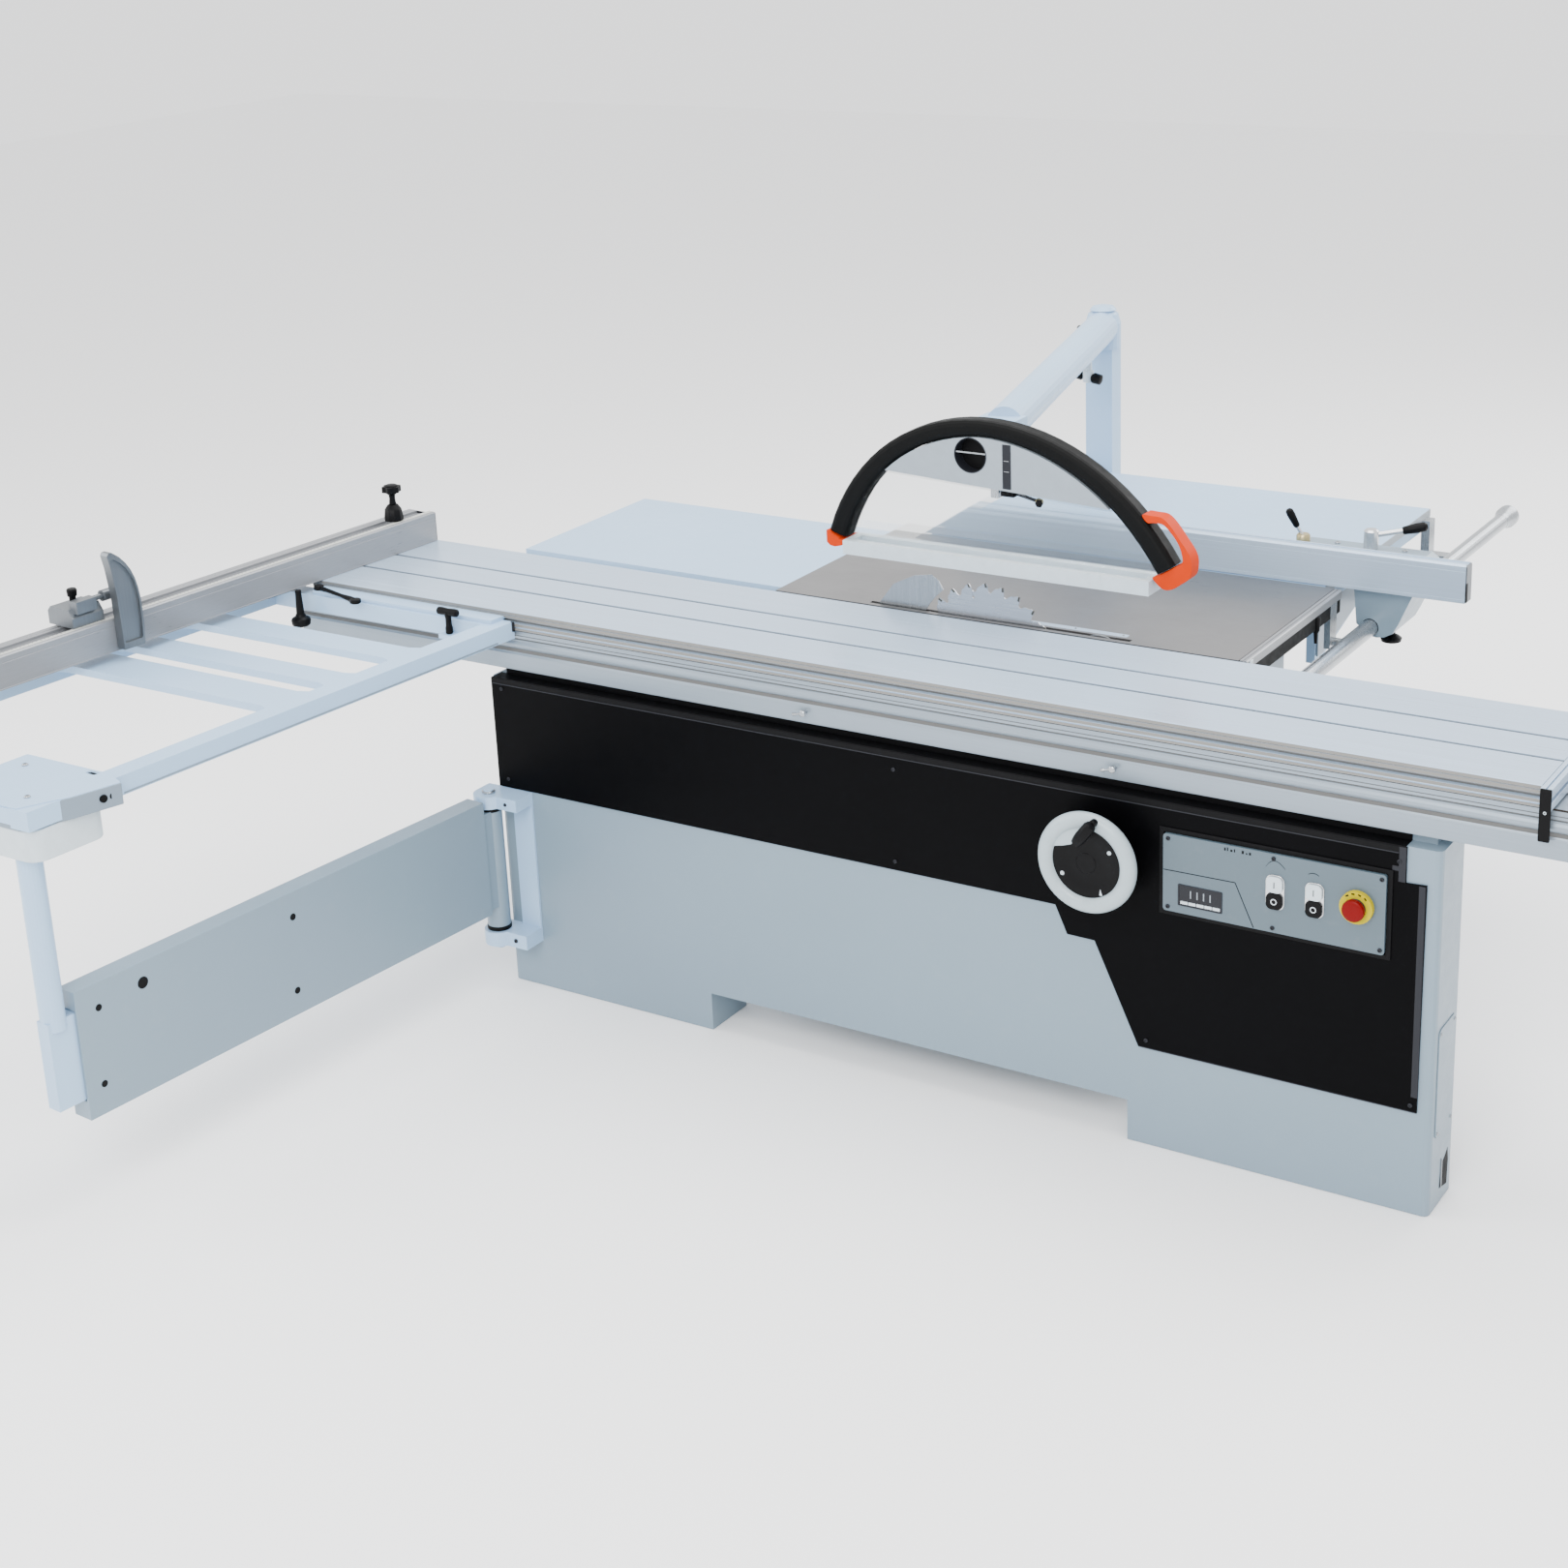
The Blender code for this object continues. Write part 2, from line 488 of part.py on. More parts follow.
# ---- crosscut frame and fence ----
def crosscut_frame():
    """The frame leans as a parallelogram: its X bars stay square to the carriage's side."""
    x0, x1 = FRAME_X0, FRAME_X1
    adds = [box(x0, x1, -0.048, -0.003, FRAME_Z0, FRAME_Z1),
            box(-0.460, 0.050, -0.040, -0.003, FRAME_Z0 + 0.01, 0.8685),
            box(-0.460, 0.050, -0.020, 0.008, 0.8615, 0.8685),
            box(x1 - 0.048, x1, FRAME_Y0, -0.040, FRAME_Z0, FRAME_Z1),
            box(x0, x0 + 0.050, FRAME_Y0, -0.040, FRAME_Z0, FRAME_Z1),
            prism([(-0.170, -1.045), (x1 - 0.02, -1.045), (x1 + 0.028, -1.066), (x1 + 0.008, -1.160),
                   (x1 - 0.030, FRAME_Y0 + 0.001), (-0.170, FRAME_Y0 + 0.001)], "Z", FRAME_Z0 - 0.004, FRAME_Z1 + 0.002),
            prism(round_outline(-0.0885, 0.0765, -1.245, -1.080, 0.030, 4), "Z", 0.756, 0.840)]
    for y0, y1 in ((-0.309, -0.235), (-0.486, -0.418), (-0.640, -0.544)):
        adds.append(box(x0 + 0.005, x1 - 0.005, y0, y1, FRAME_Z0 + 0.020, FRAME_Z1 - 0.001))
    adds.append(box(x0 + 0.005, x1 - 0.005, FRAME_Y0, FRAME_Y0 + 0.050, FRAME_Z0 + 0.006, FRAME_Z1 - 0.001))
    adds.append(box(-0.068, -0.038, -0.074, -0.046, FRAME_Z0, FRAME_Z0 + 0.010))
    solid("crosscut_frame", "paint_light", adds, skew=FRAME_SKEW)
    x, y = -0.454, -0.030
    adds = [rod("Z", (x, y), 0.011, 0.8610 + 0.008, 0.8785, 16), bar((x, y, 0.8735), (x + 0.146, y - 0.042, 0.8735), 0.0045),
            rod("Z", (x + 0.146, y - 0.042), 0.0125, 0.868, 0.879, 16)]
    solid("frame_lever_flat", "black_plastic", adds, pivot=(x, y, 0.87))
    x, y = -0.053, -0.062
    adds = [rod("Z", (x, y), 0.008, FRAME_Z0 + 0.0105, 0.882, 16), bar((x - 0.020, y, 0.881), (x + 0.020, y, 0.881), 0.0090)]
    solid("frame_lever_upright", "black_plastic", adds, pivot=(x, y, 0.85))


def crosscut_fence():
    x0, x1 = XFENCE_X0, XFENCE_X1
    face = [(x0, 0.8805), (x1, 0.8805), (x1, 0.9480), (x1 - 0.003, 0.9505), (x1 - 0.020, 0.9505), (x1 - 0.020, 0.9400),
            (x0 + 0.030, 0.9400), (x0 + 0.030, 0.9460), (x0 + 0.004, 0.9460), (x0, 0.9420)]
    tunnel = box(x0 + 0.014, x1 - 0.034, -1.40, 0.30, 0.890, 0.926)
    solid("crosscut_fence", "aluminium", [prism(face, "Y", FRAME_Y0, 0.3655)], [tunnel],
          pivot=(-0.495, XFENCE_PIVOT_Y, 0.90), swing=True)
    adds = [box(x0 + 0.016, x1 - 0.036, FRAME_Y0 - 0.010, -0.30, 0.892, 0.924),
            box(x0 + 0.002, x1 - 0.002, FRAME_Y0 - 0.018, FRAME_Y0 - 0.004, 0.882, 0.944)]
    solid("fence_extension", "aluminium", adds, pivot=(-0.53, FRAME_Y0, 0.908), swing=True)
    x, y = -0.468, -0.082
    profile = [(0.796, 0.014), (0.800, 0.020), (0.812, 0.022), (0.820, 0.012), (0.830, 0.009), (0.8800, 0.007)]
    solid("fence_knob", "black_plastic", [lathe("Z", (x, y), profile, 20)], pivot=(x, y, 0.84))
    y0 = -0.660
    adds = [box(x0 - 0.004, x1 - 0.014, y0, y0 + 0.078, 0.9512, 0.990),
            bar((-0.500, y0 + 0.02, 1.000), (-0.500, y0 + 0.0860, 1.000), 0.0060),
            bar((-0.540, y0 + 0.04, 0.98), (-0.540, y0 + 0.04, 1.022), 0.010),
            box(-0.512, -0.488, y0 + 0.010, y0 + 0.060, 0.980, 1.006)]
    solid("stop_clamp", "aluminium", adds, pivot=(-0.525, y0 + 0.04, 0.96), swing=True)
    outline = [(-0.568, 0.886), (-0.515, 0.886), (-0.512, 0.930), (-0.513, 0.985), (-0.521, 1.030), (-0.540, 1.068),
               (-0.572, 1.098), (-0.584, 1.094), (-0.578, 1.062), (-0.571, 1.000)]
    adds = [prism(outline, "X", -0.478, -0.456), rod("Y", (-0.500, 1.000), 0.012, -0.578, -0.500, 16),
            box(-0.500, -0.460, -0.565, -0.520, 0.992, 1.008)]
    solid("flip_stop", "aluminium", adds, [rod("Y", (-0.500, 1.000), 0.0068, -0.60, -0.572, 16)],
          pivot=(-0.500, -0.54, 1.000), swing=True)
    x, y = -0.512, 0.262
    profile = [(0.9512, 0.023), (0.9580, 0.023), (0.9850, 0.015), (0.9900, 0.013)]
    solid("hold_down_bracket", "black_plastic", [lathe("Z", (x, y), profile, 20)], pivot=(x, y, 0.96), swing=True)
    profile = [(0.9905, 0.008), (1.0120, 0.008), (1.0180, 0.017), (1.0230, 0.023), (1.0320, 0.023), (1.0370, 0.016)]
    solid("hold_down_knob", "black_plastic", [lathe("Z", (x, y), profile, 20)], pivot=(x, y, 1.01), swing=True)


# ---- swing arm ----
def swing_arm():
    x, y = ARM_X, ARM_Y
    lug = [(0.090, -0.0005), (0.090, y - 0.0145), (x + 0.032, y - 0.0145)]
    lug += [(x + 0.034 * math.cos(math.radians(a)), y + 0.034 * math.sin(math.radians(a))) for a in range(330, 165, -15)]
    lug += [(x - 0.034, -0.0005)]
    adds = [prism(lug, "Z", 0.4400, 0.4685), prism(lug, "Z", 0.1120, 0.1455),
            box(x + 0.034, 0.090, -0.0060, -0.0005, 0.1130, 0.4680),
            rod("Z", (x, y), 0.0115, 0.098, 0.478, 16)]
    solid("hinge_bracket", "paint", adds)
    adds = [rod("Z", (x, y), 0.026, 0.1465, 0.4390),
            box(x - 0.020, x + 0.020, y - 0.060, y - 0.010, 0.205, 0.432),
            box(x - 0.024, x + 0.024, y - 1.130, y - 0.042, 0.197, 0.463)]
    cuts = [rod("Z", (x, y), 0.0120, 0.10, 0.50, 16), box(x - 0.018, x + 0.018, y - 1.20, y - 0.120, 0.236, 0.424)]
    solid("swing_arm", "paint", adds, cuts, pivot=(x, y, 0.30), turn=ARM_REST)
    reach = y - ARM_REACH
    adds = [box(x - 0.0165, x + 0.0165, reach - 0.024, y - 0.350, 0.240, 0.420),
            rod("Z", (x, reach), 0.024, 0.400, 0.752)]
    solid("arm_tube", "paint_light", adds, [box(x - 0.0125, x + 0.0125, reach + 0.030, y - 0.30, 0.246, 0.414)],
          pivot=(x, y, 0.30), turn=ARM_REST)


# ---- overhead guard ----
def guard_arm():
    adds = [box(POST_X - 0.036, POST_X + 0.036, POST_Y - 0.025, POST_Y + 0.025, 0.004, 1.183),
            box(POST_X - 0.150, POST_X + 0.150, POST_Y - 0.090, POST_Y + 0.110, 0.0, 0.012),
            rod("Z", (POST_X, POST_Y), 0.018, 1.170, 1.208)]
    solid("guard_post", "paint_light", adds)
    tip = Vector((1.012, 0.480, 1.270))
    adds = [lathe("Z", (POST_X, POST_Y), [(1.1835, 0.044), (1.2450, 0.044), (1.2680, 0.037), (1.2820, 0.020)]),
            bar((POST_X, POST_Y, 1.2360), tip, 0.0400, 24),
            box(0.965, 1.055, 0.436, 0.500, 1.180, 1.290)]
    solid("guard_arm", "paint_light", adds, [rod("Z", (POST_X, POST_Y), 0.0186, 1.10, 1.2130)],
          pivot=(POST_X, POST_Y, 1.236))
    x, y = 0.7516, 1.400
    adds = [rod("Z", (x, y), 0.010, 1.150, 1.2005, 16), bar((x - 0.030, y, 1.160), (x + 0.034, y, 1.150), 0.0075)]
    solid("guard_lock_lever", "black_plastic", adds, pivot=(x, y, 1.17))


def arc_thickness(angle):
    return 0.034 + 0.010 * min(1.0, abs(angle - 90.0) / 55.0)


def arc_point(angle, inset=0.0):
    """A point of the guard's leaning oval, moved inwards by inset; the angle is in degrees."""
    turn = math.radians(angle)
    x = ARC_X + ARC_RX * math.cos(turn) + ARC_LEAN * ARC_RZ * math.sin(turn)
    z = ARC_Z + ARC_RZ * math.sin(turn)
    along = Vector((-ARC_RX * math.sin(turn) + ARC_LEAN * ARC_RZ * math.cos(turn), ARC_RZ * math.cos(turn)))
    along.normalize()
    return (x - inset * along.y, z + inset * along.x)


def hood_floor(x):
    return 1.1812 - 0.0532 * (x - 0.7701)


def inside_curve(extra, wanted, count):
    """Points just inside the arc, over the angles where wanted(x, z) holds, from right to left."""
    angles = [a / 4 for a in range(4 * 20, 4 * 160)]
    kept = [a for a in angles if wanted(*arc_point(a, arc_thickness(a) + extra))]
    first, last = min(kept), max(kept)
    chosen = [first + (last - first) * i / count for i in range(count + 1)]
    return [arc_point(a, arc_thickness(a) + extra) for a in chosen]


def guard_hood():
    outline = inside_curve(0.0010, lambda x, z: z > hood_floor(x), 20)
    adds = [prism(outline, "Y", 0.368, 0.412), box(0.975, 1.050, 0.411, 0.4355, 1.185, 1.250)]
    solid("guard_hood", "grey_plastic", adds, [rod("Y", (0.993, 1.232), 0.036, 0.30, 0.400)])
    arc = bmesh.new()
    rings = []
    count = 30
    for i in range(count + 1):
        angle = 154.8 - 127.3 * i / count
        section = round_outline(0.0, arc_thickness(angle), 0.366, 0.414, 0.012, 3)
        points = [(arc_point(angle, inset), y) for inset, y in section]
        rings.append([arc.verts.new((x, y, z)) for (x, z), y in points])
    arc.faces.new(rings[0])
    arc.faces.new(rings[-1][::-1])
    for ring, following in zip(rings, rings[1:]):
        for i in range(len(ring)):
            j = (i + 1) % len(ring)
            arc.faces.new((ring[i], following[i], following[j], ring[j]))
    bmesh.ops.recalc_face_normals(arc, faces=arc.faces)
    solid("guard_arc", "rubber", [arc])
    low, left_end, right_end = 1.0200, 0.6905, 1.3915
    right = inside_curve(0.0030, lambda x, z: low < z < hood_floor(x) - 0.0005 and 1.0 < x < right_end, 5)
    left = inside_curve(0.0030, lambda x, z: low < z < hood_floor(x) - 0.0005 and left_end < x < 1.0, 5)
    outline = [(right[0][0], low)] + right + left + [(left[-1][0], low)]
    ceiling = [(0.50, 0.99), (1.60, 0.99), (1.60, hood_floor(1.60) - 0.0050), (0.50, hood_floor(0.50) - 0.0050)]
    solid("guard_screen", "clear", [prism(outline, "Y", 0.3680, 0.4120)], [prism(ceiling, "Y", 0.3705, 0.4095)])
    solid("guard_bar", "white_plastic", [box(0.690, 1.392, 0.356, 0.424, 0.990, 1.0195)],
          [box(0.708, 1.376, 0.374, 0.406, 0.97, 1.03)])
    cap = [(0.6480, 1.0362), (0.6482, 1.0102), (0.6560, 1.0035), (0.6665, 1.0018), (0.6830, 1.0055), (0.6893, 1.0110),
           (0.6893, 1.0192), (0.6785, 1.0192), (0.6785, 1.0215)]
    solid("guard_cap_left", "orange_plastic", [prism(cap, "Y", 0.360, 0.420)])
    loop = [(1.3690, 1.1505), (1.4082, 1.1505), (1.4282, 1.1360), (1.4682, 1.0845), (1.4768, 1.0611), (1.4715, 1.0330),
            (1.4319, 1.0030), (1.4119, 1.0031), (1.3935, 1.0205), (1.3935, 1.0255), (1.4020, 1.0290),
            (1.4405, 1.0526), (1.4571, 1.0613), (1.4511, 1.0960), (1.4140, 1.1351), (1.3840, 1.1345)]
    solid("guard_handle", "orange_plastic", [prism(loop, "Y", 0.372, 0.408)])


def build():
    clear_scene()
    front_cabinet()
    lower_rail()
    carriage()
    main_table()
    side_tables()
    guide_rail()
    main_body()
    saw_blade()
    saw_cradle()
    saw_carrier()
    controls()
    handwheel()
    rip_fence()
    crosscut_frame()
    crosscut_fence()
    swing_arm()
    guard_arm()
    guard_hood()


build()
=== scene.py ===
from math import cos, pi, radians, sin, tau

import bmesh
import bpy
from mathutils import Matrix, Vector


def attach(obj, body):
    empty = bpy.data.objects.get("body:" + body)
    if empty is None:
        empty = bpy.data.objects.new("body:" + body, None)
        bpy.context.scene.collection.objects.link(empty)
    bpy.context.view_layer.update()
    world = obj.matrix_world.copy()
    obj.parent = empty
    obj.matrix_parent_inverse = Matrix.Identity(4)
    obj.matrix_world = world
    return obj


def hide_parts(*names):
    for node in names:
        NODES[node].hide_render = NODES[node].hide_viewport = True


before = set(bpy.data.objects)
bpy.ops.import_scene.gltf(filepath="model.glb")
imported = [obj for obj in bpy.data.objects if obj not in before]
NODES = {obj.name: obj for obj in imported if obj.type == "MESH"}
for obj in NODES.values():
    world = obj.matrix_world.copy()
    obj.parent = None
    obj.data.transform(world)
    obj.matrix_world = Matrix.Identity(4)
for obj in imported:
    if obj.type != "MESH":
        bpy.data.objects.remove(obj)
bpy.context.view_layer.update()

# The machine is drawn from the front cabinet's lower left corner, as the CAD is.
ORIGIN = Vector((0.27, 0.065, 0.0))
BLADE_X, BLADE_Y, BLADE_Z, BLADE_R = 1.0125, 0.39, 0.8, 0.1575
TEETH = 24
GUIDE = (1.64, 0.79)


# -------- materials
class Nodes:
    """A short way to build a node tree."""

    def __init__(self, name):
        self.mat = bpy.data.materials.new(name)
        self.mat.use_nodes = True
        self.tree = self.mat.node_tree
        self.shader = self.tree.nodes["Principled BSDF"]
        self.coords = self.tree.nodes.new("ShaderNodeTexCoord").outputs["Object"]

    def put(self, kind, inputs=None, **props):
        node = self.tree.nodes.new(kind)
        for key, value in props.items():
            setattr(node, key, value)
        for key, value in (inputs or {}).items():
            self.feed(node.inputs[key], value)
        return node

    def feed(self, socket, value):
        if isinstance(value, bpy.types.NodeSocket):
            self.tree.links.new(value, socket)
        else:
            socket.default_value = value

    def noise(self, scale, detail=3.0, rough=0.5, stretch=None):
        vector = self.coords
        if stretch:
            vector = self.put("ShaderNodeMapping", {"Vector": self.coords,
                "Scale": stretch}).outputs["Vector"]
        return self.put("ShaderNodeTexNoise", {"Vector": vector, "Scale": scale, "Detail": detail,
            "Roughness": rough}).outputs["Fac"]

    def remap(self, value, low, high, to_low, to_high):
        return self.put("ShaderNodeMapRange", {"Value": value, "From Min": low, "From Max": high,
            "To Min": to_low, "To Max": to_high}).outputs["Result"]

    def mix(self, factor, first, second):
        node = self.put("ShaderNodeMix", data_type="RGBA")
        for socket, value in ((node.inputs[0], factor), (node.inputs[6], first), (node.inputs[7], second)):
            self.feed(socket, value)
        return node.outputs[2]

    def math(self, operation, first, second):
        return self.put("ShaderNodeMath", {0: first, 1: second}, operation=operation).outputs[0]

    def bump(self, height, strength, distance, normal=None):
        inputs = {"Height": height, "Strength": strength, "Distance": distance}
        if normal is not None:
            inputs["Normal"] = normal
        return self.put("ShaderNodeBump", inputs).outputs["Normal"]

    def plug(self, **sockets):
        for key, value in sockets.items():
            self.feed(self.shader.inputs[key.replace("_", " ")], value)
        return self.mat


def rgba(colour, gain=1.0):
    return (colour[0] * gain, colour[1] * gain, colour[2] * gain, 1.0)


def paint(name, colour, rough=0.36, peel=0.1, coat=0.2, drift=0.03, dust=0.05, gloss=0.45):
    """Sprayed enamel: orange peel, a slow drift of tone, and a little dust in smears."""
    n = Nodes(name)
    clouds = n.remap(n.noise(2.2, 3.0), 0.3, 0.7, 0.0, 1.0)
    smears = n.noise(26.0, 6.0, 0.65)
    tone = n.mix(clouds, rgba(colour, 1.0 - drift), rgba(colour, 1.0 + drift * 0.6))
    dusty = n.mix(n.remap(smears, 0.56, 0.78, 0.0, dust), tone, (0.42, 0.42, 0.41, 1.0))
    skin = n.bump(n.noise(420.0, 2.0), peel, 0.0004)
    return n.plug(Base_Color=dusty, Roughness=n.remap(smears, 0.25, 0.75, rough - 0.07, rough + 0.1),
        Normal=skin, Coat_Weight=coat, Coat_Roughness=0.18, Specular_IOR_Level=gloss)


def extrusion(name, colour, axis, rough=0.3, lines=0.25):
    """Anodised or drawn aluminium: fine lines run along the profile."""
    n = Nodes(name)
    across = [420.0, 420.0, 420.0]
    across["XYZ".index(axis)] = 1.6
    streaks = n.noise(1.0, 4.0, 0.7, tuple(across))
    clouds = n.noise(3.0, 4.0, 0.6)
    tone = n.mix(n.remap(streaks, 0.3, 0.7, 0.0, 1.0), rgba(colour, 0.93), rgba(colour, 1.04))
    tone = n.mix(n.remap(clouds, 0.45, 0.8, 0.0, 0.22), tone, rgba(colour, 0.84))
    shine = n.math("ADD", n.remap(streaks, 0.25, 0.75, rough - 0.05, rough + 0.07),
        n.remap(clouds, 0.4, 0.8, 0.0, 0.08))
    return n.plug(Base_Color=tone, Metallic=0.4, Roughness=shine, Normal=n.bump(streaks, lines, 0.00012))


def ground_metal(name, colour, axis="X", rough=0.34, stain=0.3, marks=0.35):
    """Ground cast iron or brushed steel: short directional marks, patches and faint stains."""
    n = Nodes(name)
    across = [260.0, 260.0, 260.0]
    across["XYZ".index(axis)] = 6.0
    streaks = n.noise(1.0, 5.0, 0.75, tuple(across))
    patches = n.noise(5.0, 5.0, 0.6)
    pores = n.noise(900.0, 2.0)
    tone = n.mix(n.remap(streaks, 0.3, 0.7, 0.0, 1.0), rgba(colour, 0.9), rgba(colour, 1.07))
    tone = n.mix(n.remap(patches, 0.45, 0.75, 0.0, stain), tone, rgba(colour, 0.72))
    normal = n.bump(streaks, marks, 0.00015, n.bump(pores, 0.12, 0.0002))
    shine = n.math("ADD", n.remap(streaks, 0.25, 0.75, rough - 0.06, rough + 0.08),
        n.remap(patches, 0.4, 0.8, -0.03, 0.1))
    return n.plug(Base_Color=tone, Metallic=0.85, Roughness=shine, Normal=normal)


def plastic(name, colour, rough=0.45, grain=0.25, scale=900.0, gloss=0.45):
    n = Nodes(name)
    rub = n.noise(40.0, 5.0, 0.6)
    tone = n.mix(n.remap(rub, 0.4, 0.75, 0.0, 0.35), rgba(colour), rgba(colour, 1.22))
    return n.plug(Base_Color=tone, Roughness=n.remap(rub, 0.25, 0.75, rough - 0.08, rough + 0.1),
        Normal=n.bump(n.noise(scale, 2.0), grain, 0.0002), Specular_IOR_Level=gloss)


def sheet_clear(name):
    n = Nodes(name)
    scuffs = n.noise(60.0, 6.0, 0.7)
    return n.plug(Base_Color=(0.9, 0.95, 0.97, 1.0), Roughness=n.remap(scuffs, 0.45, 0.8, 0.03, 0.22),
        Transmission_Weight=1.0, IOR=1.08, Alpha=0.22)


M = dict(paint=paint("enamel_grey_blue", (0.168, 0.234, 0.29)),
    plate_paint=paint("enamel_plate", (0.066, 0.1, 0.125)),
    paint_light=paint("enamel_pale_blue", (0.33, 0.49, 0.68)),
    paint_black=paint("enamel_black", (0.0008, 0.0008, 0.0012), 0.42, 0.1, 0.0, 0.2, 0.0005, 0.045),
    alu_x=extrusion("aluminium_along_x", (0.42, 0.53, 0.66), "X"),
    alu_y=extrusion("aluminium_along_y", (0.235, 0.243, 0.258), "Y"),
    alu_cast=ground_metal("aluminium_cast", (0.17, 0.185, 0.2), "Z", 0.38, 0.25, 0.2),
    rail=extrusion("rail_enamel", (0.245, 0.295, 0.345), "X", 0.36),
    iron=ground_metal("ground_iron", (0.205, 0.2, 0.2), "X", 0.33, 0.2),
    iron_rough=ground_metal("cast_iron_rough", (0.13, 0.13, 0.135), "Z", 0.5, 0.3),
    steel=ground_metal("machined_steel", (0.36, 0.38, 0.4), "Z", 0.26, 0.18, 0.2),
    chrome=ground_metal("bright_chrome", (0.6, 0.61, 0.62), "Y", 0.14, 0.1, 0.08),
    brass=ground_metal("brass", (0.45, 0.38, 0.2), "Y", 0.3, 0.2, 0.2),
    blade=ground_metal("saw_blade_plate", (0.46, 0.48, 0.52), "X", 0.24, 0.12, 0.15),
    carbide=ground_metal("carbide_tip", (0.085, 0.082, 0.068), "Z", 0.3, 0.2, 0.1),
    black=plastic("moulded_black", (0.0022, 0.0022, 0.0026), 0.42, gloss=0.1),
    charcoal=plastic("charcoal_edge", (0.012, 0.013, 0.017), 0.45, gloss=0.2),
    dark_glass=plastic("dark_window", (0.006, 0.007, 0.01), 0.16, 0.02, gloss=0.25),
    # Black for print, also laid as painted shade in recesses, slots, holes, gaps and openings.
    ink_and_shade=plastic("print_and_painted_shade", (0.0025, 0.0025, 0.003), 0.55, gloss=0.1),
    # Black rubber, also laid as painted shadow under the table's edge strip and under the crosscut fence.
    rubber=plastic("black_rubber_and_painted_shadow", (0.0016, 0.0017, 0.0017), 0.5, 0.35, 500.0, gloss=0.1),
    grey=plastic("moulded_grey", (0.25, 0.29, 0.325), 0.36, 0.15),
    shade=plastic("shaded_groove", (0.1, 0.1, 0.098), 0.6, gloss=0.2),
    # Grey-brown for strips laid over the carriage's side: painted shade on the side turned away from the
    # light.
    side_shade=plastic("painted_side_shade_grey", (0.18, 0.176, 0.166), 0.42, 0.15, gloss=0.35),
    # Dark brown: painted shadow in the gap between rail and carriage.
    gap_shade=plastic("painted_gap_shadow", (0.022, 0.017, 0.013), 0.7, gloss=0.1),
    ring_grey=plastic("wheel_grey", (0.33, 0.4, 0.43), 0.34, 0.1),
    white=plastic("moulded_white", (0.5, 0.57, 0.61), 0.32, 0.08),
    tape=plastic("scale_tape", (0.42, 0.43, 0.4), 0.42, 0.1),
    red=plastic("moulded_red", (0.135, 0.0, 0.0), 0.4, 0.06, gloss=0.12),
    orange=plastic("moulded_orange", (0.5, 0.03, 0.0), 0.45, 0.1, gloss=0.05),
    yellow=plastic("moulded_yellow", (0.42, 0.335, 0.0), 0.42, 0.08, gloss=0.12),
    # A darker copy of the frame's pale paint: painted shade for side faces.
    frame_shade=paint("enamel_painted_side_shade", (0.15, 0.2, 0.25)), clear=sheet_clear("clear_polycarbonate"))


# -------- CAD nodes that keep their shape
def soften(obj, width, segments=2):
    """Round the edges; without a width, only keep the creases sharp."""
    crease = radians(32.0)
    obj.data.shade_smooth()
    if width:
        bevel = obj.modifiers.new("soft_edges", "BEVEL")
        bevel.width = width
        bevel.segments = segments
        bevel.limit_method = "ANGLE"
        bevel.angle_limit = crease
        bevel.harden_normals = True
    else:
        obj.data.set_sharp_from_angle(angle=crease)


for material, width, nodes in (("paint", 0.0025, "base_cabinet"), ("paint_black", 0.001, "front_panel"),
        ("plate_paint", 0.0015, "control_plate"), ("rail", 0.0012, "lower_rail"),
        ("black", 0.002, "rail_lock_left rail_lock_right handwheel_handle guard_lock_lever"),
        ("alu_x", 0.0008, "carriage carriage_end rip_fence"), ("steel", 0.0005, "roller_cage"),
        ("iron", 0.0015, "main_table"), ("paint_light", 0.0025, "left_table rear_table"),
        ("steel", 0.001, "guide_rail"), ("paint", 0.0015, "main_body"), ("paint", 0.0012, "rear_door motor"),
        ("steel", 0.0008, "dust_outlet"), ("steel", 0.0, "main_blade scoring_unit"),
        ("steel", 0.0006, "main_arbor motor_pulley"), ("rubber", 0.0008, "drive_belt"),
        ("steel", 0.0004, "riving_knife"), ("iron_rough", 0.0015, "saw_cradle saw_carrier"),
        ("white", 0.0012, "start_button_saw start_button_scorer"),
        ("black", 0.0012,
        "stop_button_saw stop_button_scorer frame_lever_flat hold_down_bracket hold_down_knob"),
        ("yellow", 0.0012, "estop_ring"), ("red", 0.0012, "estop_button"), ("grey", 0.001, "handwheel"),
        ("paint", 0.003, "fence_base swing_arm"), ("black", 0.0015, "fence_lever frame_lever_upright"),
        ("steel", 0.0015, "fence_rail_lever"), ("paint_light", 0.0035, "crosscut_frame"),
        ("alu_y", 0.001, "crosscut_fence fence_extension"), ("black", 0.001, "fence_knob"),
        ("alu_cast", 0.002, "stop_clamp flip_stop"), ("paint", 0.002, "hinge_bracket"),
        ("paint_light", 0.002, "arm_tube"), ("paint_light", 0.004, "guard_post"),
        ("paint_light", 0.003, "guard_arm"), ("grey", 0.003, "guard_hood"), ("rubber", 0.001, "guard_arc"),
        ("clear", 0.0, "guard_screen"), ("white", 0.0015, "guard_bar"),
        ("orange", 0.003, "guard_cap_left guard_handle")):
    for node in nodes.split():
        data = NODES[node].data
        data.materials.clear()
        data.materials.append(M[material])
        if width:
            soften(NODES[node], width)


# -------- closed shapes for the detail pieces
def on_circle(centre, radius, angle):
    return (centre[0] + radius * cos(angle), centre[1] + radius * sin(angle))


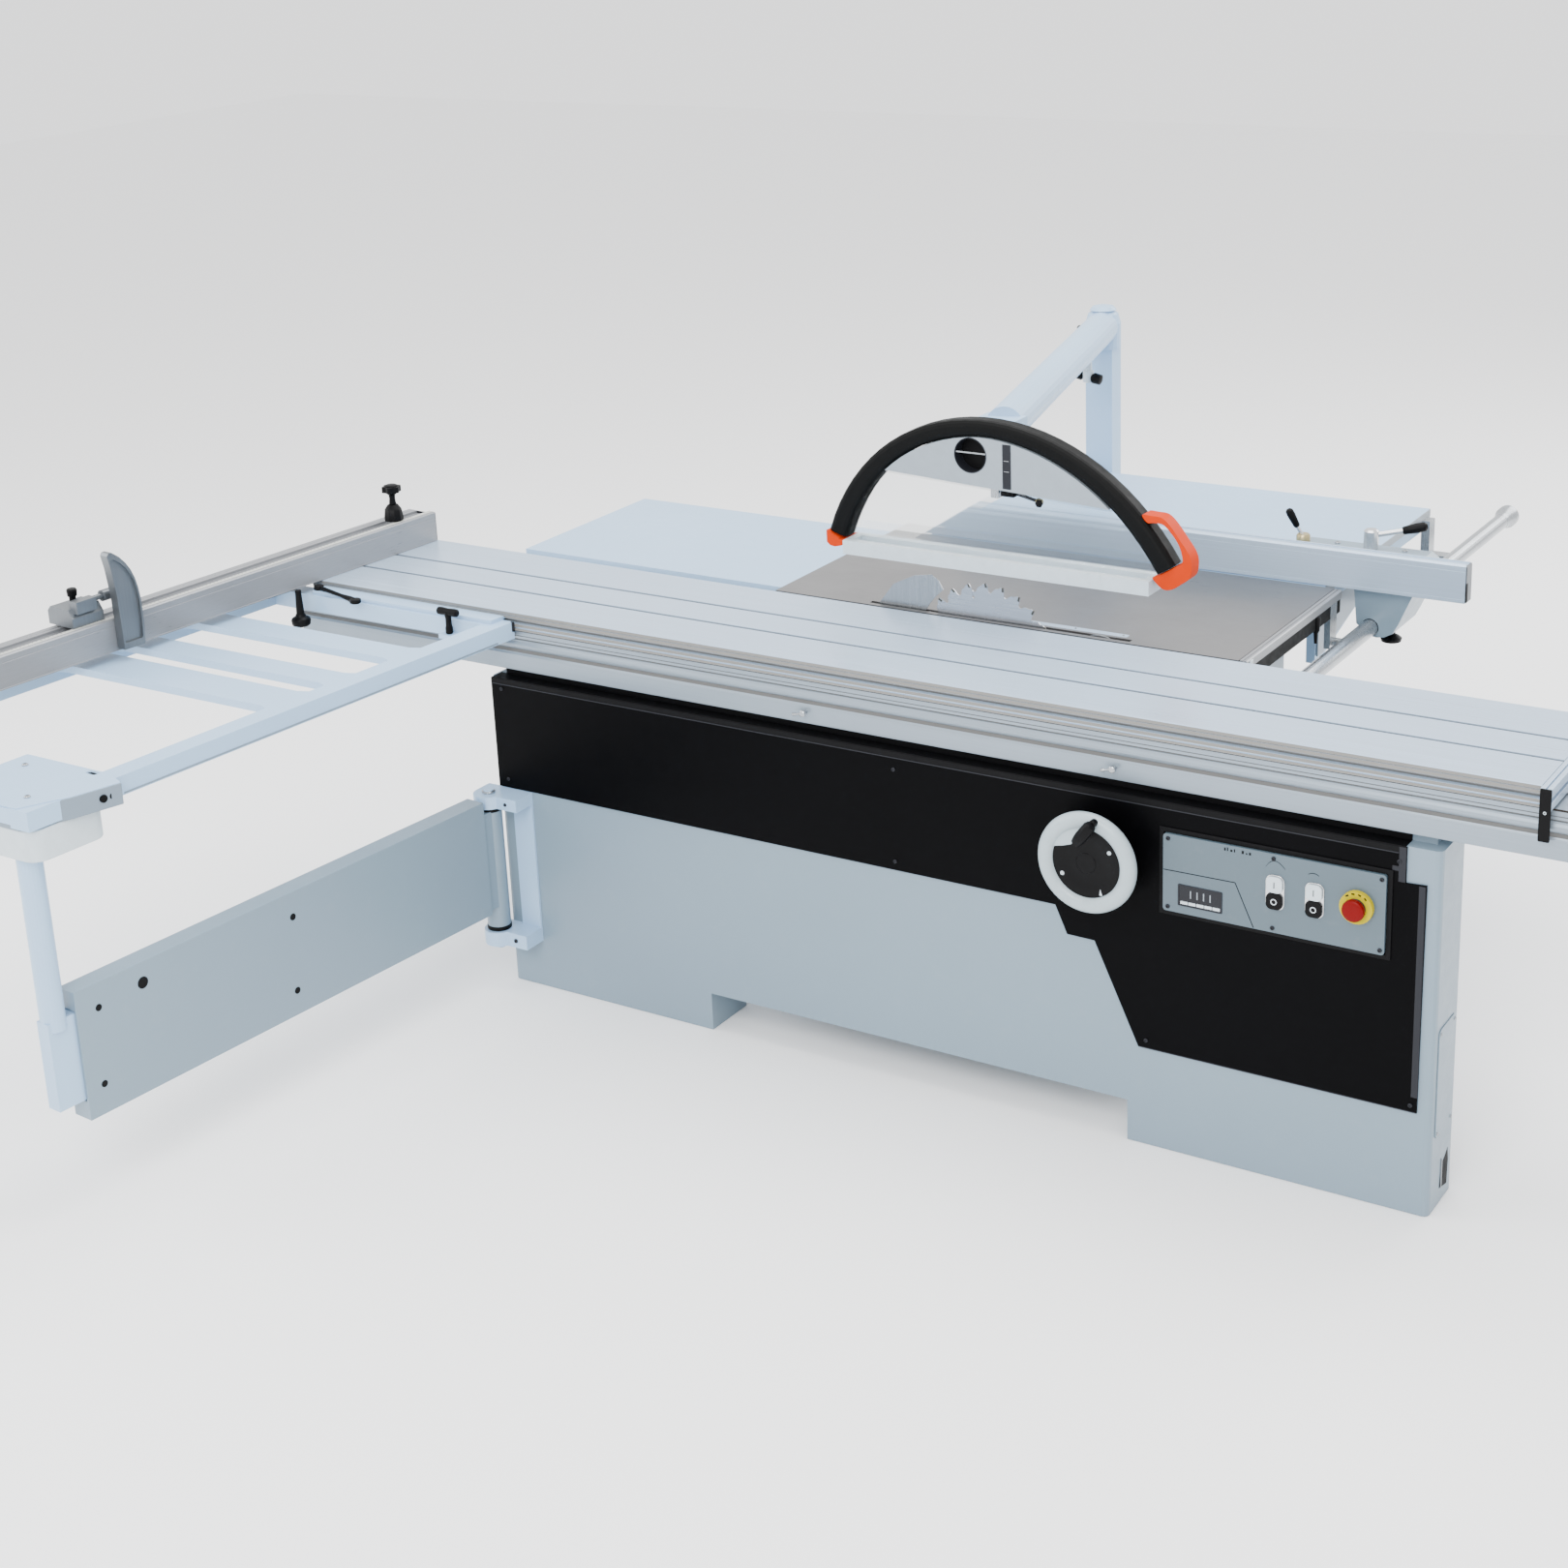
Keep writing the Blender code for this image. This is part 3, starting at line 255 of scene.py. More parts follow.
def prism(points, axis, low, high):
    """Extrude a flat outline along an axis: points are the two other coordinates, in X, Y, Z order."""
    def place(pair, depth):
        return {"X": (depth, *pair), "Y": (pair[0], depth, pair[1]), "Z": (*pair, depth)}[axis]
    mesh = bmesh.new()
    first = [mesh.verts.new(place(p, low)) for p in points]
    second = [mesh.verts.new(place(p, high)) for p in points]
    mesh.faces.new(first)
    mesh.faces.new(second[::-1])
    for i in range(len(points)):
        j = (i + 1) % len(points)
        mesh.faces.new((first[i], second[i], second[j], first[j]))
    bmesh.ops.recalc_face_normals(mesh, faces=mesh.faces)
    return mesh


def box(x0, x1, y0, y1, z0, z1):
    return prism([(x0, y0), (x1, y0), (x1, y1), (x0, y1)], "Z", z0, z1)


def round_outline(x0, x1, y0, y1, radius, steps=6):
    points = []
    for cx, cy, start in ((x1 - radius, y1 - radius, 0), (x0 + radius, y1 - radius, 90),
            (x0 + radius, y0 + radius, 180), (x1 - radius, y0 + radius, 270)):
        for i in range(steps + 1):
            angle = radians(start + 90 * i / steps)
            points.append(on_circle((cx, cy), radius, angle))
    return points


def slab(outline, axis, low, high):
    """A block with round corners, its outline given as for round_outline."""
    return prism(round_outline(*outline), axis, low, high)


def rod(axis, centre, radius, low, high, steps=40):
    return prism([on_circle(centre, radius, tau * i / steps) for i in range(steps)], axis, low, high)


def lathe(axis, centre, profile, steps=48, ring=False):
    """Turn (distance along the axis, radius) pairs into a solid; a ring's profile closes on itself."""
    mesh = bmesh.new()
    rings = []
    for depth, radius in profile:
        turn = []
        for i in range(steps):
            a, b = on_circle(centre, radius, tau * i / steps)
            turn.append(mesh.verts.new({"X": (depth, a, b), "Y": (a, depth, b), "Z": (a, b, depth)}[axis]))
        rings.append(turn)
    if ring:
        pairs = zip(rings, rings[1:] + rings[:1])
    else:
        mesh.faces.new(rings[0])
        mesh.faces.new(rings[-1][::-1])
        pairs = zip(rings, rings[1:])
    for here, following in pairs:
        for i in range(steps):
            j = (i + 1) % steps
            mesh.faces.new((here[i], following[i], following[j], here[j]))
    bmesh.ops.recalc_face_normals(mesh, faces=mesh.faces)
    return mesh


def turned(start, end, profile, steps=24):
    """A turned shape from start towards end: profile is (distance from start, radius) pairs."""
    start = Vector(start)
    way = Vector(end) - start
    mesh = lathe("Z", (0.0, 0.0), profile, steps)
    mesh.transform(Matrix.Translation(start) @ way.to_track_quat("Z", "Y").to_matrix().to_4x4())
    return mesh


def bar(start, end, radius, steps=24):
    length = (Vector(end) - Vector(start)).length
    soft = min(radius * 0.35, length * 0.2)
    return turned(start, end, [(0.0, radius - soft), (soft, radius), (length - soft, radius),
        (length, radius - soft)], steps)


def new_object(name, data):
    obj = bpy.data.objects.new(name, data)
    bpy.context.scene.collection.objects.link(obj)
    return obj


def mesh_object(name, shape):
    data = bpy.data.meshes.new(name)
    shape.to_mesh(data)
    shape.free()
    return new_object(name, data)


def about(pivot, angle):
    place = Matrix.Translation(Vector(pivot))
    return place @ Matrix.Rotation(angle, 4, "Z") @ place.inverted()


FENCE_TURN = about((-0.495, -0.13, 0.0), radians(-5.2))
ARM_TURN = about((0.004, -0.045, 0.0), radians(-5.0))
LEAN = 0.0875
FRAME_LEAN = Matrix(((1, LEAN, 0, 0), (0, 1, 0, 0), (0, 0, 1, 0), (0, 0, 0, 1)))


# Edges rounded by more than this take three segments.
FINE = 0.0015
FRAME, FENCE, HOOD = "crosscut_frame", "crosscut_fence", "guard_hood"
# Bodies whose pieces are drawn square to the machine and then put in place.
PLACES = {FRAME: FRAME_LEAN, FENCE: FENCE_TURN, "flip_stop": FENCE_TURN, "stop_clamp": FENCE_TURN,
    "hold_down_knob": FENCE_TURN, "swing_arm": ARM_TURN}


def piece(name, body, material, adds, cuts=(), soft=0.0, segments=None, place=None, replaces=(), join=True):
    """A detail piece that rides on a body: the added shapes go in as they are, or fused where join is False,
    then the cut shapes are taken away, and edges are rounded by soft. A piece with replaces=True stands in
    for the node of its body."""
    first = adds[0]
    if join:
        for other in adds[1:]:
            spare = bpy.data.meshes.new("spare")
            other.to_mesh(spare)
            other.free()
            first.from_mesh(spare)
            bpy.data.meshes.remove(spare)
        adds = [first]
    obj = mesh_object(name, first)
    tools = []
    for kind, shapes in (("UNION", adds[1:]), ("DIFFERENCE", cuts)):
        for shape in shapes:
            tool = mesh_object("tool", shape)
            step = obj.modifiers.new("step", "BOOLEAN")
            step.operation = kind
            step.solver = "EXACT"
            step.object = tool
            tools.append(tool)
    if tools:
        graph = bpy.context.evaluated_depsgraph_get()
        data = bpy.data.meshes.new_from_object(obj.evaluated_get(graph))
        obj.modifiers.clear()
        obj.data = data
        data.name = name
        for tool in tools:
            bpy.data.objects.remove(tool, do_unlink=True)
    place = PLACES.get(body, place)
    if place is not None:
        obj.data.transform(place)
    obj.data.transform(Matrix.Translation(-ORIGIN))
    obj.data.materials.clear()
    obj.data.materials.append(M[material])
    soften(obj, soft, segments or (3 if soft > FINE else 2))
    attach(obj, body)
    if replaces:
        replaces = (body,) if replaces is True else replaces
        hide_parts(*replaces)
    return obj


def fixed(name, material, adds, cuts=(), **settings):
    """A detail piece on the standing machine."""
    return piece(name, "machine", material, adds, cuts, **settings)


def screw(axis, centre, face, way, radius=0.0045):
    """A domed screw head with a round socket, standing off a face towards way (+1 or -1)."""
    profile = ((0.0, 1.0), (0.35, 1.0), (0.62, 0.78), (0.66, 0.45), (0.3, 0.4))
    return lathe(axis, centre, [(face + way * radius * up, radius * out) for up, out in profile], 18)


# -------- front cabinet and its panel
FACE_Y = -0.0043
fixed("panel_screws", "charcoal", [screw("Y", spot, FACE_Y, -1, 0.0042) for spot in ((0.03, 0.7),
    (0.03, 0.49), (1.0125, 0.686), (1.0105, 0.489), (2.0395, 0.6945), (1.556, 0.226), (2.076, 0.223))])
# Charcoal strips along the black panel's folded top and side edges, lighter than the panel: a painted
# highlight where the folds catch the light.
fixed("panel_fold_highlight", "charcoal", [box(0.004, 2.038, -0.0052, FACE_Y + 0.0002, 0.7095, 0.7118),
    box(2.0385, 2.0515, -0.005, FACE_Y + 0.0002, 0.656, 0.7225), box(2.0765, 2.0885, -0.005, FACE_Y + 0.0002,
    0.24, 0.6545)], soft=0.0004)
# Black sheets in the recess above the panel and at its back, under the rail: painted shade.
fixed("panel_recess_shade", "ink_and_shade", [box(0.004, 2.052, -0.0047, FACE_Y + 0.0002, 0.7122, 0.7228)], soft=0.0002)
fixed("recess_back_shade", "ink_and_shade", [box(0.021, 2.05, 0.0284, 0.0299, 0.7243, 0.7445), box(0.006, 2.05, -0.0042,
    0.029, 0.7231, 0.7247)])
fixed("panel_label", "charcoal", [slab((2.027, 2.0475, 0.676, 0.685, 0.001), "Y", -0.0048, FACE_Y + 0.0002)])
fixed("panel_bottom_lip", "charcoal", [box(1.541, 2.087, -0.005, FACE_Y + 0.0002, 0.2095, 0.2112)],
    soft=0.0004)
fixed("side_cover", "paint", [slab((0.02, 0.11, 0.15, 0.37, 0.012), "X", 2.1149, 2.1172)], soft=0.001)
fixed("side_cover_screws", "steel", [screw("X", (y, z), 2.1172, 1, 0.0035) for y in (0.028,
    0.102) for z in (0.16, 0.36)])
# A thin black sheet where the side opening is: painted shade inside the opening.
fixed("side_opening", "ink_and_shade", [prism([(0.06, 0.03), (0.102, 0.02), (0.105, 0.07), (0.1, 0.096), (0.085, 0.085),
    (0.066, 0.076)], "X", 2.1149, 2.1153)])
fixed("side_opening_edge", "steel", [box(2.115, 2.1175, 0.064, 0.0665, 0.03, 0.09)], soft=0.0004)
feet = [lathe("Z", (foot_x, 0.065), [(0.0005, 0.026), (0.005, 0.026), (0.008, 0.02), (0.0095, 0.008)],
    32) for foot_x in (0.08, 0.45, 1.59, 2.04)]
fixed("levelling_feet", "rubber", feet)
fixed("cabinet_back_edge", "paint", [box(0.003, 2.112, 0.1295, 0.1312, 0.69, 0.7)], soft=0.0006)


# -------- lower rail and carriage
def bulge(points):
    """Half of a round bead between two outline points on the rail's face, standing proud by 3.8 mm."""
    (y0, z0), (y1, z1) = points
    count = 10
    return [(y0 + (y1 - y0) * i / count - 0.0038 * sin(pi * i / count),
        z0 + (z1 - z0) * i / count) for i in range(count + 1)]


rail_face = [(0.006, 0.836), (0.006, 0.8262), (0.0072, 0.8256), (0.006, 0.825), (0.006, 0.8195),
    (0.0088, 0.8185), (0.0088, 0.8168), (0.006, 0.8158)]
rail_face += bulge(((0.0058, 0.8128), (0.0062, 0.7965)))
rail_face += [(0.0098, 0.794), (0.0105, 0.789), (0.0085, 0.7845), (0.006, 0.7815), (0.006, 0.748),
    (0.0075, 0.745)]
rail = [(0.16, 0.745), (0.27, 0.81), (0.27, 0.836)] + rail_face
fixed("rail_extrusion", "rail", [prism(rail, "X", -0.55, 2.42)], [box(-0.6, 2.5, 0.02, 0.13, 0.757, 0.824),
    box(-0.6, 2.5, 0.142, 0.2, 0.784, 0.824)], soft=0.0004, replaces=("lower_rail",))
fixed("rail_track", "steel", [rod("X", (0.0855, 0.8372), 0.003, -0.549, 2.419, 16),
    rod("X", (0.235, 0.8372), 0.003, -0.549, 2.419, 16)])
for side, x in (("left", 0.806), ("right", 1.486)):
    z = 0.77
    piece("rail_lock_lever_" + side, "rail_lock_" + side, "steel", [lathe("Y", (x, z),
        [(0.0095, 0.0045), (-0.003, 0.0045), (-0.0035, 0.0068), (-0.0085, 0.0068), (-0.0098, 0.005)], 24),
        turned((x, -0.007, z), (x - 0.024, -0.0078, z - 0.0045), [(0.0, 0.0022), (0.014, 0.002),
        (0.017, 0.0034), (0.0225, 0.0034), (0.024, 0.002)], 16)], replaces=("rail_lock_" + side,))


def top_slot(middle):
    """A T-slot in the carriage's top, walked towards -Y."""
    half = [(0.0052, 0.88), (0.0046, 0.8794), (0.0046, 0.874), (0.011, 0.874), (0.011, 0.864)]
    return [(middle + out, z) for out, z in half] + [(middle - out, z) for out, z in reversed(half)]


def fine_line(middle):
    return [(middle + 0.0007, 0.88), (middle, 0.8792), (middle - 0.0007, 0.88)]


top = [(0.365, 0.88)]
for kind, middle in (("line", 0.3), ("slot", 0.229), ("slot", 0.126), ("line", 0.036)):
    top += top_slot(middle) if kind == "slot" else fine_line(middle)
profile = [(0.0, 0.8393), (0.06, 0.8393), (0.06, 0.853), (0.255, 0.853), (0.255, 0.8393), (0.28, 0.8393),
    (0.28, 0.868), (0.366, 0.868), (0.366, 0.879)]
profile += top
profile += [(0.0015, 0.88), (0.0, 0.8785), (0.0, 0.8722), (0.0012, 0.8716), (0.0, 0.871), (0.0, 0.864),
    (0.009, 0.863), (0.009, 0.8555), (0.0, 0.8545), (0.0, 0.8475), (0.0018, 0.8468), (0.0018, 0.8455),
    (0.0, 0.8448)]
piece("carriage_extrusion", "carriage", "alu_x", [prism(profile, "X", -0.5, 2.279)], replaces=True)
piece("carriage_side_shadow", "carriage", "shade", [box(-0.499, 2.278, 0.0086, 0.0092, 0.8556, 0.8629)])
fixed("rail_shadows", "shade", [box(-0.549, 2.419, 0.008, 0.009, 0.8167, 0.8186),
    box(-0.549, 2.419, 0.0092, 0.0108, 0.786, 0.7938), box(-0.549, 2.419, 0.0054, 0.007, 0.8252, 0.826)])
# A dark strip in the gap between rail and carriage: painted shadow.
fixed("rail_gap_shadow", "gap_shade", [box(-0.549, 2.419, 0.005, 0.007, 0.8358, 0.8388)])
# Strips over the carriage's side faces, darker than the extrusion: painted shade on the side that faces away
# from the light; the last one narrows the dark groove.
piece("carriage_side_painted_shade", "carriage", "side_shade", [box(-0.499, 2.278, -0.0004, 0.001, low, high) for low,
    high in ((0.8726, 0.8782), (0.8644, 0.8706), (0.8479, 0.8541), (0.8396, 0.8446))] + [box(-0.499, 2.278,
    0.008, 0.0087, 0.8588, 0.8629)])
# Charcoal strips on the floors of the two top T-slots: painted shade in the slots.
piece("slot_floor_shade", "carriage", "charcoal", [box(-0.499, 2.278, mid - 0.0046, mid + 0.0046, 0.8742,
    0.8772) for mid in (0.229, 0.126)])
piece("carriage_lip_shadow", "carriage", "shade", [box(-0.499, 2.278, -0.0003, 0.001, 0.8711, 0.8722)])
x_end = 2.2795
piece("end_extrusion", "carriage", "alu_x", [box(x_end, x_end + 0.02, -0.0105, 0.279, 0.84, 0.8795)],
    [box(x_end + 0.0085, x_end + 0.0115, -0.02, 0.3, 0.874, 0.9), box(x_end + 0.012, x_end + 0.03, -0.02, 0.3,
    0.855, 0.863)], soft=0.0006, replaces=("carriage_end",))
piece("end_cap", "carriage", "black", [slab((x_end, x_end + 0.02, 0.783, 0.879, 0.0025), "Y", -0.014,
    -0.0108)], soft=0.0008)
piece("end_cap_screw", "carriage", "white", [screw("Y", (x_end + 0.01, 0.836), -0.014 + 0.0022, -1, 0.0036)])
piece("left_end_plate", "carriage", "alu_cast", [box(-0.5035, -0.5003, 0.004, 0.276, 0.8405, 0.879)],
    soft=0.0008)
piece("left_end_screws", "carriage", "steel", [screw("X", (y, 0.861), -0.5033, -1, 0.004) for y in (0.03,
    0.14, 0.25)])


# -------- table, blade and side tables
fixed("table_edge_strip", "alu_y", [prism([(0.0, 0.8615), (0.016, 0.8615), (0.016, 0.877), (0.0135, 0.879),
    (0.01, 0.879), (0.0095, 0.8776), (0.007, 0.8776), (0.0065, 0.879), (0.0, 0.879)], "Y", 0.376, 0.884)],
    place=Matrix.Translation((1.5766, 0, 0)))
# A black block under the table's edge strip: painted shadow.
fixed("table_edge_shadow", "rubber", [box(1.5766, 1.5895, 0.38, 0.884, 0.83, 0.861)], soft=0.001)
fixed("table_edge_bracket", "white", [box(1.5895, 1.595, 0.388, 0.402, 0.846, 0.876)], soft=0.001)
fixed("edge_clamp", "black", [lathe("Z", (1.587, 0.752), [(0.8, 0.003), (0.822, 0.0045), (0.828, 0.008),
    (0.85, 0.0095), (0.858, 0.0095), (0.8605, 0.006)], 24)])
fixed("slit_shadow", "ink_and_shade", [box(0.746, 0.836, 0.385, 0.3958, 0.8781, 0.8787), box(0.746, 1.338, 0.3836,
    0.3848, 0.8796, 0.8802)])
fixed("table_insert", "alu_x", [slab((1.09, 1.322, 0.404, 0.421, 0.004), "Z", 0.8793, 0.8803)], soft=0.0002)
fixed("insert_screws", "steel", [screw("Z", (x, 0.4125), 0.8799, 1, 0.0028) for x in (1.1, 1.205, 1.312)])


def polar(angle, radius):
    return on_circle((BLADE_X, BLADE_Z), radius, angle)


# Each tooth: tip, back, anti-kickback shoulder, round gullet, and a face that hooks forward.
TOOTH = ((0.0, 0.0006), (0.2, 0.0026), (0.3, 0.007), (0.46, 0.0085), (0.56, 0.0125), (0.64, 0.018),
    (0.74, 0.0205), (0.84, 0.0185), (0.9, 0.014), (0.93, 0.008))
TIP = ((0.012, 0.0), (0.1, 0.0008), (0.055, 0.0095), (-0.06, 0.009))


def around(corners, i):
    """Points of one tooth: each is (share of the pitch, depth below the rim)."""
    step = tau / TEETH
    return [polar(i * step + turn * step, BLADE_R - depth) for turn, depth in corners]


outline = [point for i in range(TEETH) for point in around(TOOTH, i)]
slots = []
for i in range(4):
    angle = tau * (i + 0.15) / 4
    a, b = Vector(polar(angle, BLADE_R - 0.03)), Vector(polar(angle, BLADE_R + 0.004))
    side = Vector((-(b - a).y, (b - a).x)).normalized() * 0.0007
    slots.append(prism([a - side, b - side, b + side, a + side], "Y", 0.38, 0.4))
    slots.append(rod("Y", a, 0.003, 0.38, 0.4, 16))
piece("blade_plate", "main_arbor", "blade", [prism(outline, "Y", BLADE_Y - 0.0011, BLADE_Y + 0.0011)], slots,
    replaces=("main_blade",))
tips = [prism(around(TIP, i), "Y", BLADE_Y - 0.0016, BLADE_Y + 0.0016) for i in range(TEETH)]
piece("blade_tips", "main_arbor", "carbide", tips)
fixed("left_table_rim", "paint_light", [box(-0.199, 0.503, 0.397, 0.402, 0.846, 0.8585),
    box(-0.199, 0.503, 0.864, 0.869, 0.846, 0.8585), box(-0.199, -0.194, 0.4, 0.866, 0.846, 0.8585)],
    soft=0.0012, join=False)
fixed("rear_table_rim", "paint_light", [box(1.548, 1.5526, 0.89, 1.55, 0.838, 0.8585),
    box(0.604, 1.549, 1.5465, 1.5515, 0.838, 0.8585), box(0.601, 0.606, 0.89, 1.55, 0.838, 0.8585)],
    soft=0.0012, join=False)
fixed("rear_table_edge", "grey", [box(1.5526, 1.5545, 0.889, 1.551, 0.862, 0.8792)], soft=0.0006)
fixed("rail_gusset", "rail", [prism([(0.905, 0.857), (1.48, 0.857), (0.935, 0.715), (0.905, 0.715)], "X",
    1.531, 1.535)], soft=0.001)

# -------- guide rail, rip fence and its casting
fixed("guide_rail_collar", "steel", [lathe("Y", GUIDE, [(1.81, 0.0182), (1.832, 0.0196), (1.85, 0.0262),
    (1.871, 0.0262), (1.8775, 0.0205)], 40)])
fy = 0.89
fence = [(fy + out, z) for out, z in ((0.0, 0.8815), (0.034, 0.8815), (0.034, 0.905), (0.0265, 0.905),
    (0.0265, 0.915), (0.034, 0.915), (0.034, 0.959), (0.0305, 0.9635), (0.026, 0.964), (0.0255, 0.961),
    (0.01, 0.961), (0.0095, 0.964), (0.004, 0.964), (0.0, 0.96), (0.0, 0.95), (0.0006, 0.9495), (0.0, 0.949),
    (0.0, 0.8905), (0.0006, 0.89), (0.0, 0.8895))]
slant = prism([(0.5, 0.87), (0.566, 0.87), (0.72, 0.97), (0.5, 0.97)], "Y", fy - 0.02, fy + 0.06)
piece("fence_extrusion", "rip_fence", "alu_x", [prism(fence, "X", 0.564, 1.852)], [slant], soft=0.0004,
    replaces=True)
piece("fence_end_cap", "rip_fence", "alu_cast", [prism([(fy + 0.001, 0.8825), (fy + 0.033, 0.8825),
    (fy + 0.033, 0.958), (fy + 0.029, 0.963), (fy + 0.004, 0.963), (fy + 0.001, 0.96)], "X", 1.8519, 1.8548)],
    soft=0.0008)
piece("fence_end_strip", "rip_fence", "ink_and_shade", [box(1.853, 1.8549, fy - 0.0001, fy + 0.01, 0.884, 0.925)],
    soft=0.0006)
casting = [(1.44, 0.8816), (1.735, 0.8816), (1.74, 0.887), (1.738, 0.918), (1.722, 0.929), (1.452, 0.929),
    (1.436, 0.918), (1.433, 0.887)]
leg = [(1.602, 0.885), (1.735, 0.885), (1.73, 0.87), (1.702, 0.805), (1.69, 0.782), (1.672, 0.772),
    (1.655, 0.769), (1.64, 0.7715), (1.61, 0.795)]
piece("fence_casting", "fence_base", "paint", [prism(casting, "Y", 0.9255, 1.068),
    prism(leg, "Y", 0.9265, 1.067)], [rod("Y", GUIDE, 0.0192, 0.85, 1.1)], soft=0.0035, replaces=True,
    join=False)
piece("casting_bolts", "fence_base", "steel", [screw("Z", (x, y), 0.929, 1, 0.006) for x,
    y in ((1.52, 0.95), (1.52, 1.045), (1.67, 0.95), (1.67, 1.045))])
piece("casting_foot", "fence_base", "black", [lathe("Z", (1.662, 1.0), [(0.738, 0.012), (0.741, 0.021),
    (0.748, 0.023), (0.753, 0.017), (0.757, 0.009), (0.772, 0.007)], 32)])
x, y = 1.465, 0.985
piece("fence_lever_hub", "fence_lever", "brass", [lathe("Z", (x, y), [(0.93, 0.0135), (0.933, 0.015),
    (0.956, 0.015), (0.96, 0.0125)], 32)], replaces=True)
lever_end = Vector((x - 0.03, y - 0.015, 1.016))
piece("fence_lever_stem", "fence_lever", "chrome", [bar((x, y, 0.952), (x - 0.016, y - 0.008, 0.984), 0.004)])
piece("fence_lever_grip", "fence_lever", "black", [turned((x - 0.0115, y - 0.006, 0.976), lever_end,
    [(0.0, 0.0055), (0.003, 0.007), (0.03, 0.0088), (0.04, 0.008), (0.044, 0.0045)])])
x, y = 1.6, 1.03
piece("rail_lever_hub", "fence_rail_lever", "chrome", [lathe("Z", (x, y), [(0.93, 0.014), (0.932, 0.016),
    (0.97, 0.016), (0.974, 0.012)], 32), bar((x, y, 0.96), (x + 0.066, y + 0.027, 0.972), 0.0058)],
    replaces=True)
piece("rail_lever_grip", "fence_rail_lever", "black", [turned((x + 0.06, y + 0.0245, 0.971),
    (x + 0.112, y + 0.046, 0.983), [(0.0, 0.007), (0.003, 0.0085), (0.03, 0.011), (0.048, 0.01),
    (0.053, 0.005)])])

# -------- controls
PLATE = -0.0125
fixed("plate_bezel", "ink_and_shade", [box(1.583, 2.03, -0.0075, FACE_Y + 0.0002, 0.501, 0.676)],
    [box(1.5925, 2.0205, -0.02, 0.0, 0.5105, 0.6665)], soft=0.0012)
fixed("plate_screws", "charcoal", [screw("Y", (x, z), PLATE, -1, 0.0042) for x in (1.603, 1.8095,
    2.012) for z in (0.657, 0.52)])
corners = [(1.594, 0.5935), (1.736, 0.5948), (1.773, 0.5125)]
lines = []
for (x0, z0), (x1, z1) in zip(corners, corners[1:]):
    way = Vector((x1 - x0, z1 - z0)).normalized() * 0.0008
    side = Vector((-way.y, way.x))
    lines.append(prism([(x0 - side.x, z0 - side.y), (x1 - side.x, z1 - side.y), (x1 + side.x, z1 + side.y),
        (x0 + side.x, z0 + side.y)], "Y", PLATE - 0.0003, PLATE + 0.001))


def arc_line(start, peak, end, width=0.0006):
    """A thin printed arc through three points, given as (x, z)."""
    count = 10
    curve = [Vector(start).lerp(Vector(end), i / count) for i in range(count + 1)]
    lift = Vector(peak) - Vector(start).lerp(Vector(end), 0.5)
    curve = [p + lift * (1.0 - (2.0 * i / count - 1.0) ** 2) for i, p in enumerate(curve)]
    outline = [(p.x, p.y + width) for p in curve] + [(p.x, p.y - width) for p in reversed(curve)]
    return prism(outline, "Y", PLATE - 0.0003, PLATE + 0.001)


lines.append(arc_line((1.795, 0.639), (1.812, 0.653), (1.832, 0.64)))
lines.append(arc_line((1.876, 0.64), (1.886, 0.6435), (1.896, 0.64)))
for x, wide, high in ((1.714, 0.003, 0.006), (1.7195, 0.002, 0.007), (1.726, 0.004, 0.004),
        (1.733, 0.002, 0.006), (1.748, 0.004, 0.006), (1.756, 0.003, 0.003), (1.762, 0.004, 0.005)):
    lines.append(box(x, x + wide, PLATE - 0.0003, PLATE + 0.001, 0.6545, 0.6545 + high))
fixed("plate_lines", "ink_and_shade", lines)
fixed("display_bezel", "charcoal", [slab((1.6235, 1.7115, 0.527, 0.57, 0.002), "Y", PLATE - 0.0016,
    PLATE + 0.001)], [box(1.6265, 1.7085, PLATE - 0.01, PLATE - 0.0006, 0.53, 0.567)], soft=0.0004)
fixed("display_window", "dark_glass", [box(1.6268, 1.7082, PLATE - 0.0008, PLATE + 0.0008, 0.5375, 0.5667)])
fixed("display_keys", "white", [box(1.629 + 0.016 * i, 1.6435 + 0.016 * i, PLATE - 0.0022, PLATE + 0.0008,
    0.531, 0.5368) for i in range(5)], soft=0.0006)
fixed("display_digits", "grey", [box(1.648 + 0.013 * i, 1.65 + 0.013 * i, PLATE - 0.0011, PLATE + 0.0008,
    0.545, 0.56) for i in range(4)])
for unit, x in (("saw", 1.814), ("scorer", 1.889)):
    fixed("button_bezel_" + unit, "chrome", [slab((x - 0.018, x + 0.018, 0.558, 0.626, 0.013), "Y",
        PLATE - 0.0028, PLATE + 0.001)], soft=0.001)
    for kind, z, body in (("start", 0.6085, "white"), ("stop", 0.5755, "black")):
        node = kind + "_button_" + unit
        low, high = (0.5925, 0.624) if kind == "start" else (0.56, 0.5915)
        piece(node + "_cap", node, body, [slab((x - 0.0155, x + 0.0155, low, high, 0.01), "Y", -0.0203,
            -0.0156), rod("Y", (x, z), 0.006, -0.016, -0.0105, 24)], soft=0.0022, replaces=(node,),
            join=False)
    piece("mark_on_" + unit, "start_button_" + unit, "ink_and_shade", [box(x - 0.0009, x + 0.0009, -0.0206, -0.02,
        0.602, 0.614)])
    piece("mark_off_" + unit, "stop_button_" + unit, "white", [lathe("Y", (x, 0.5755),
        [(-0.0206, 0.0042), (-0.0206, 0.006), (-0.02, 0.006), (-0.02, 0.0042)], 32, ring=True)])
x, z = 1.969, 0.597
arrows = []
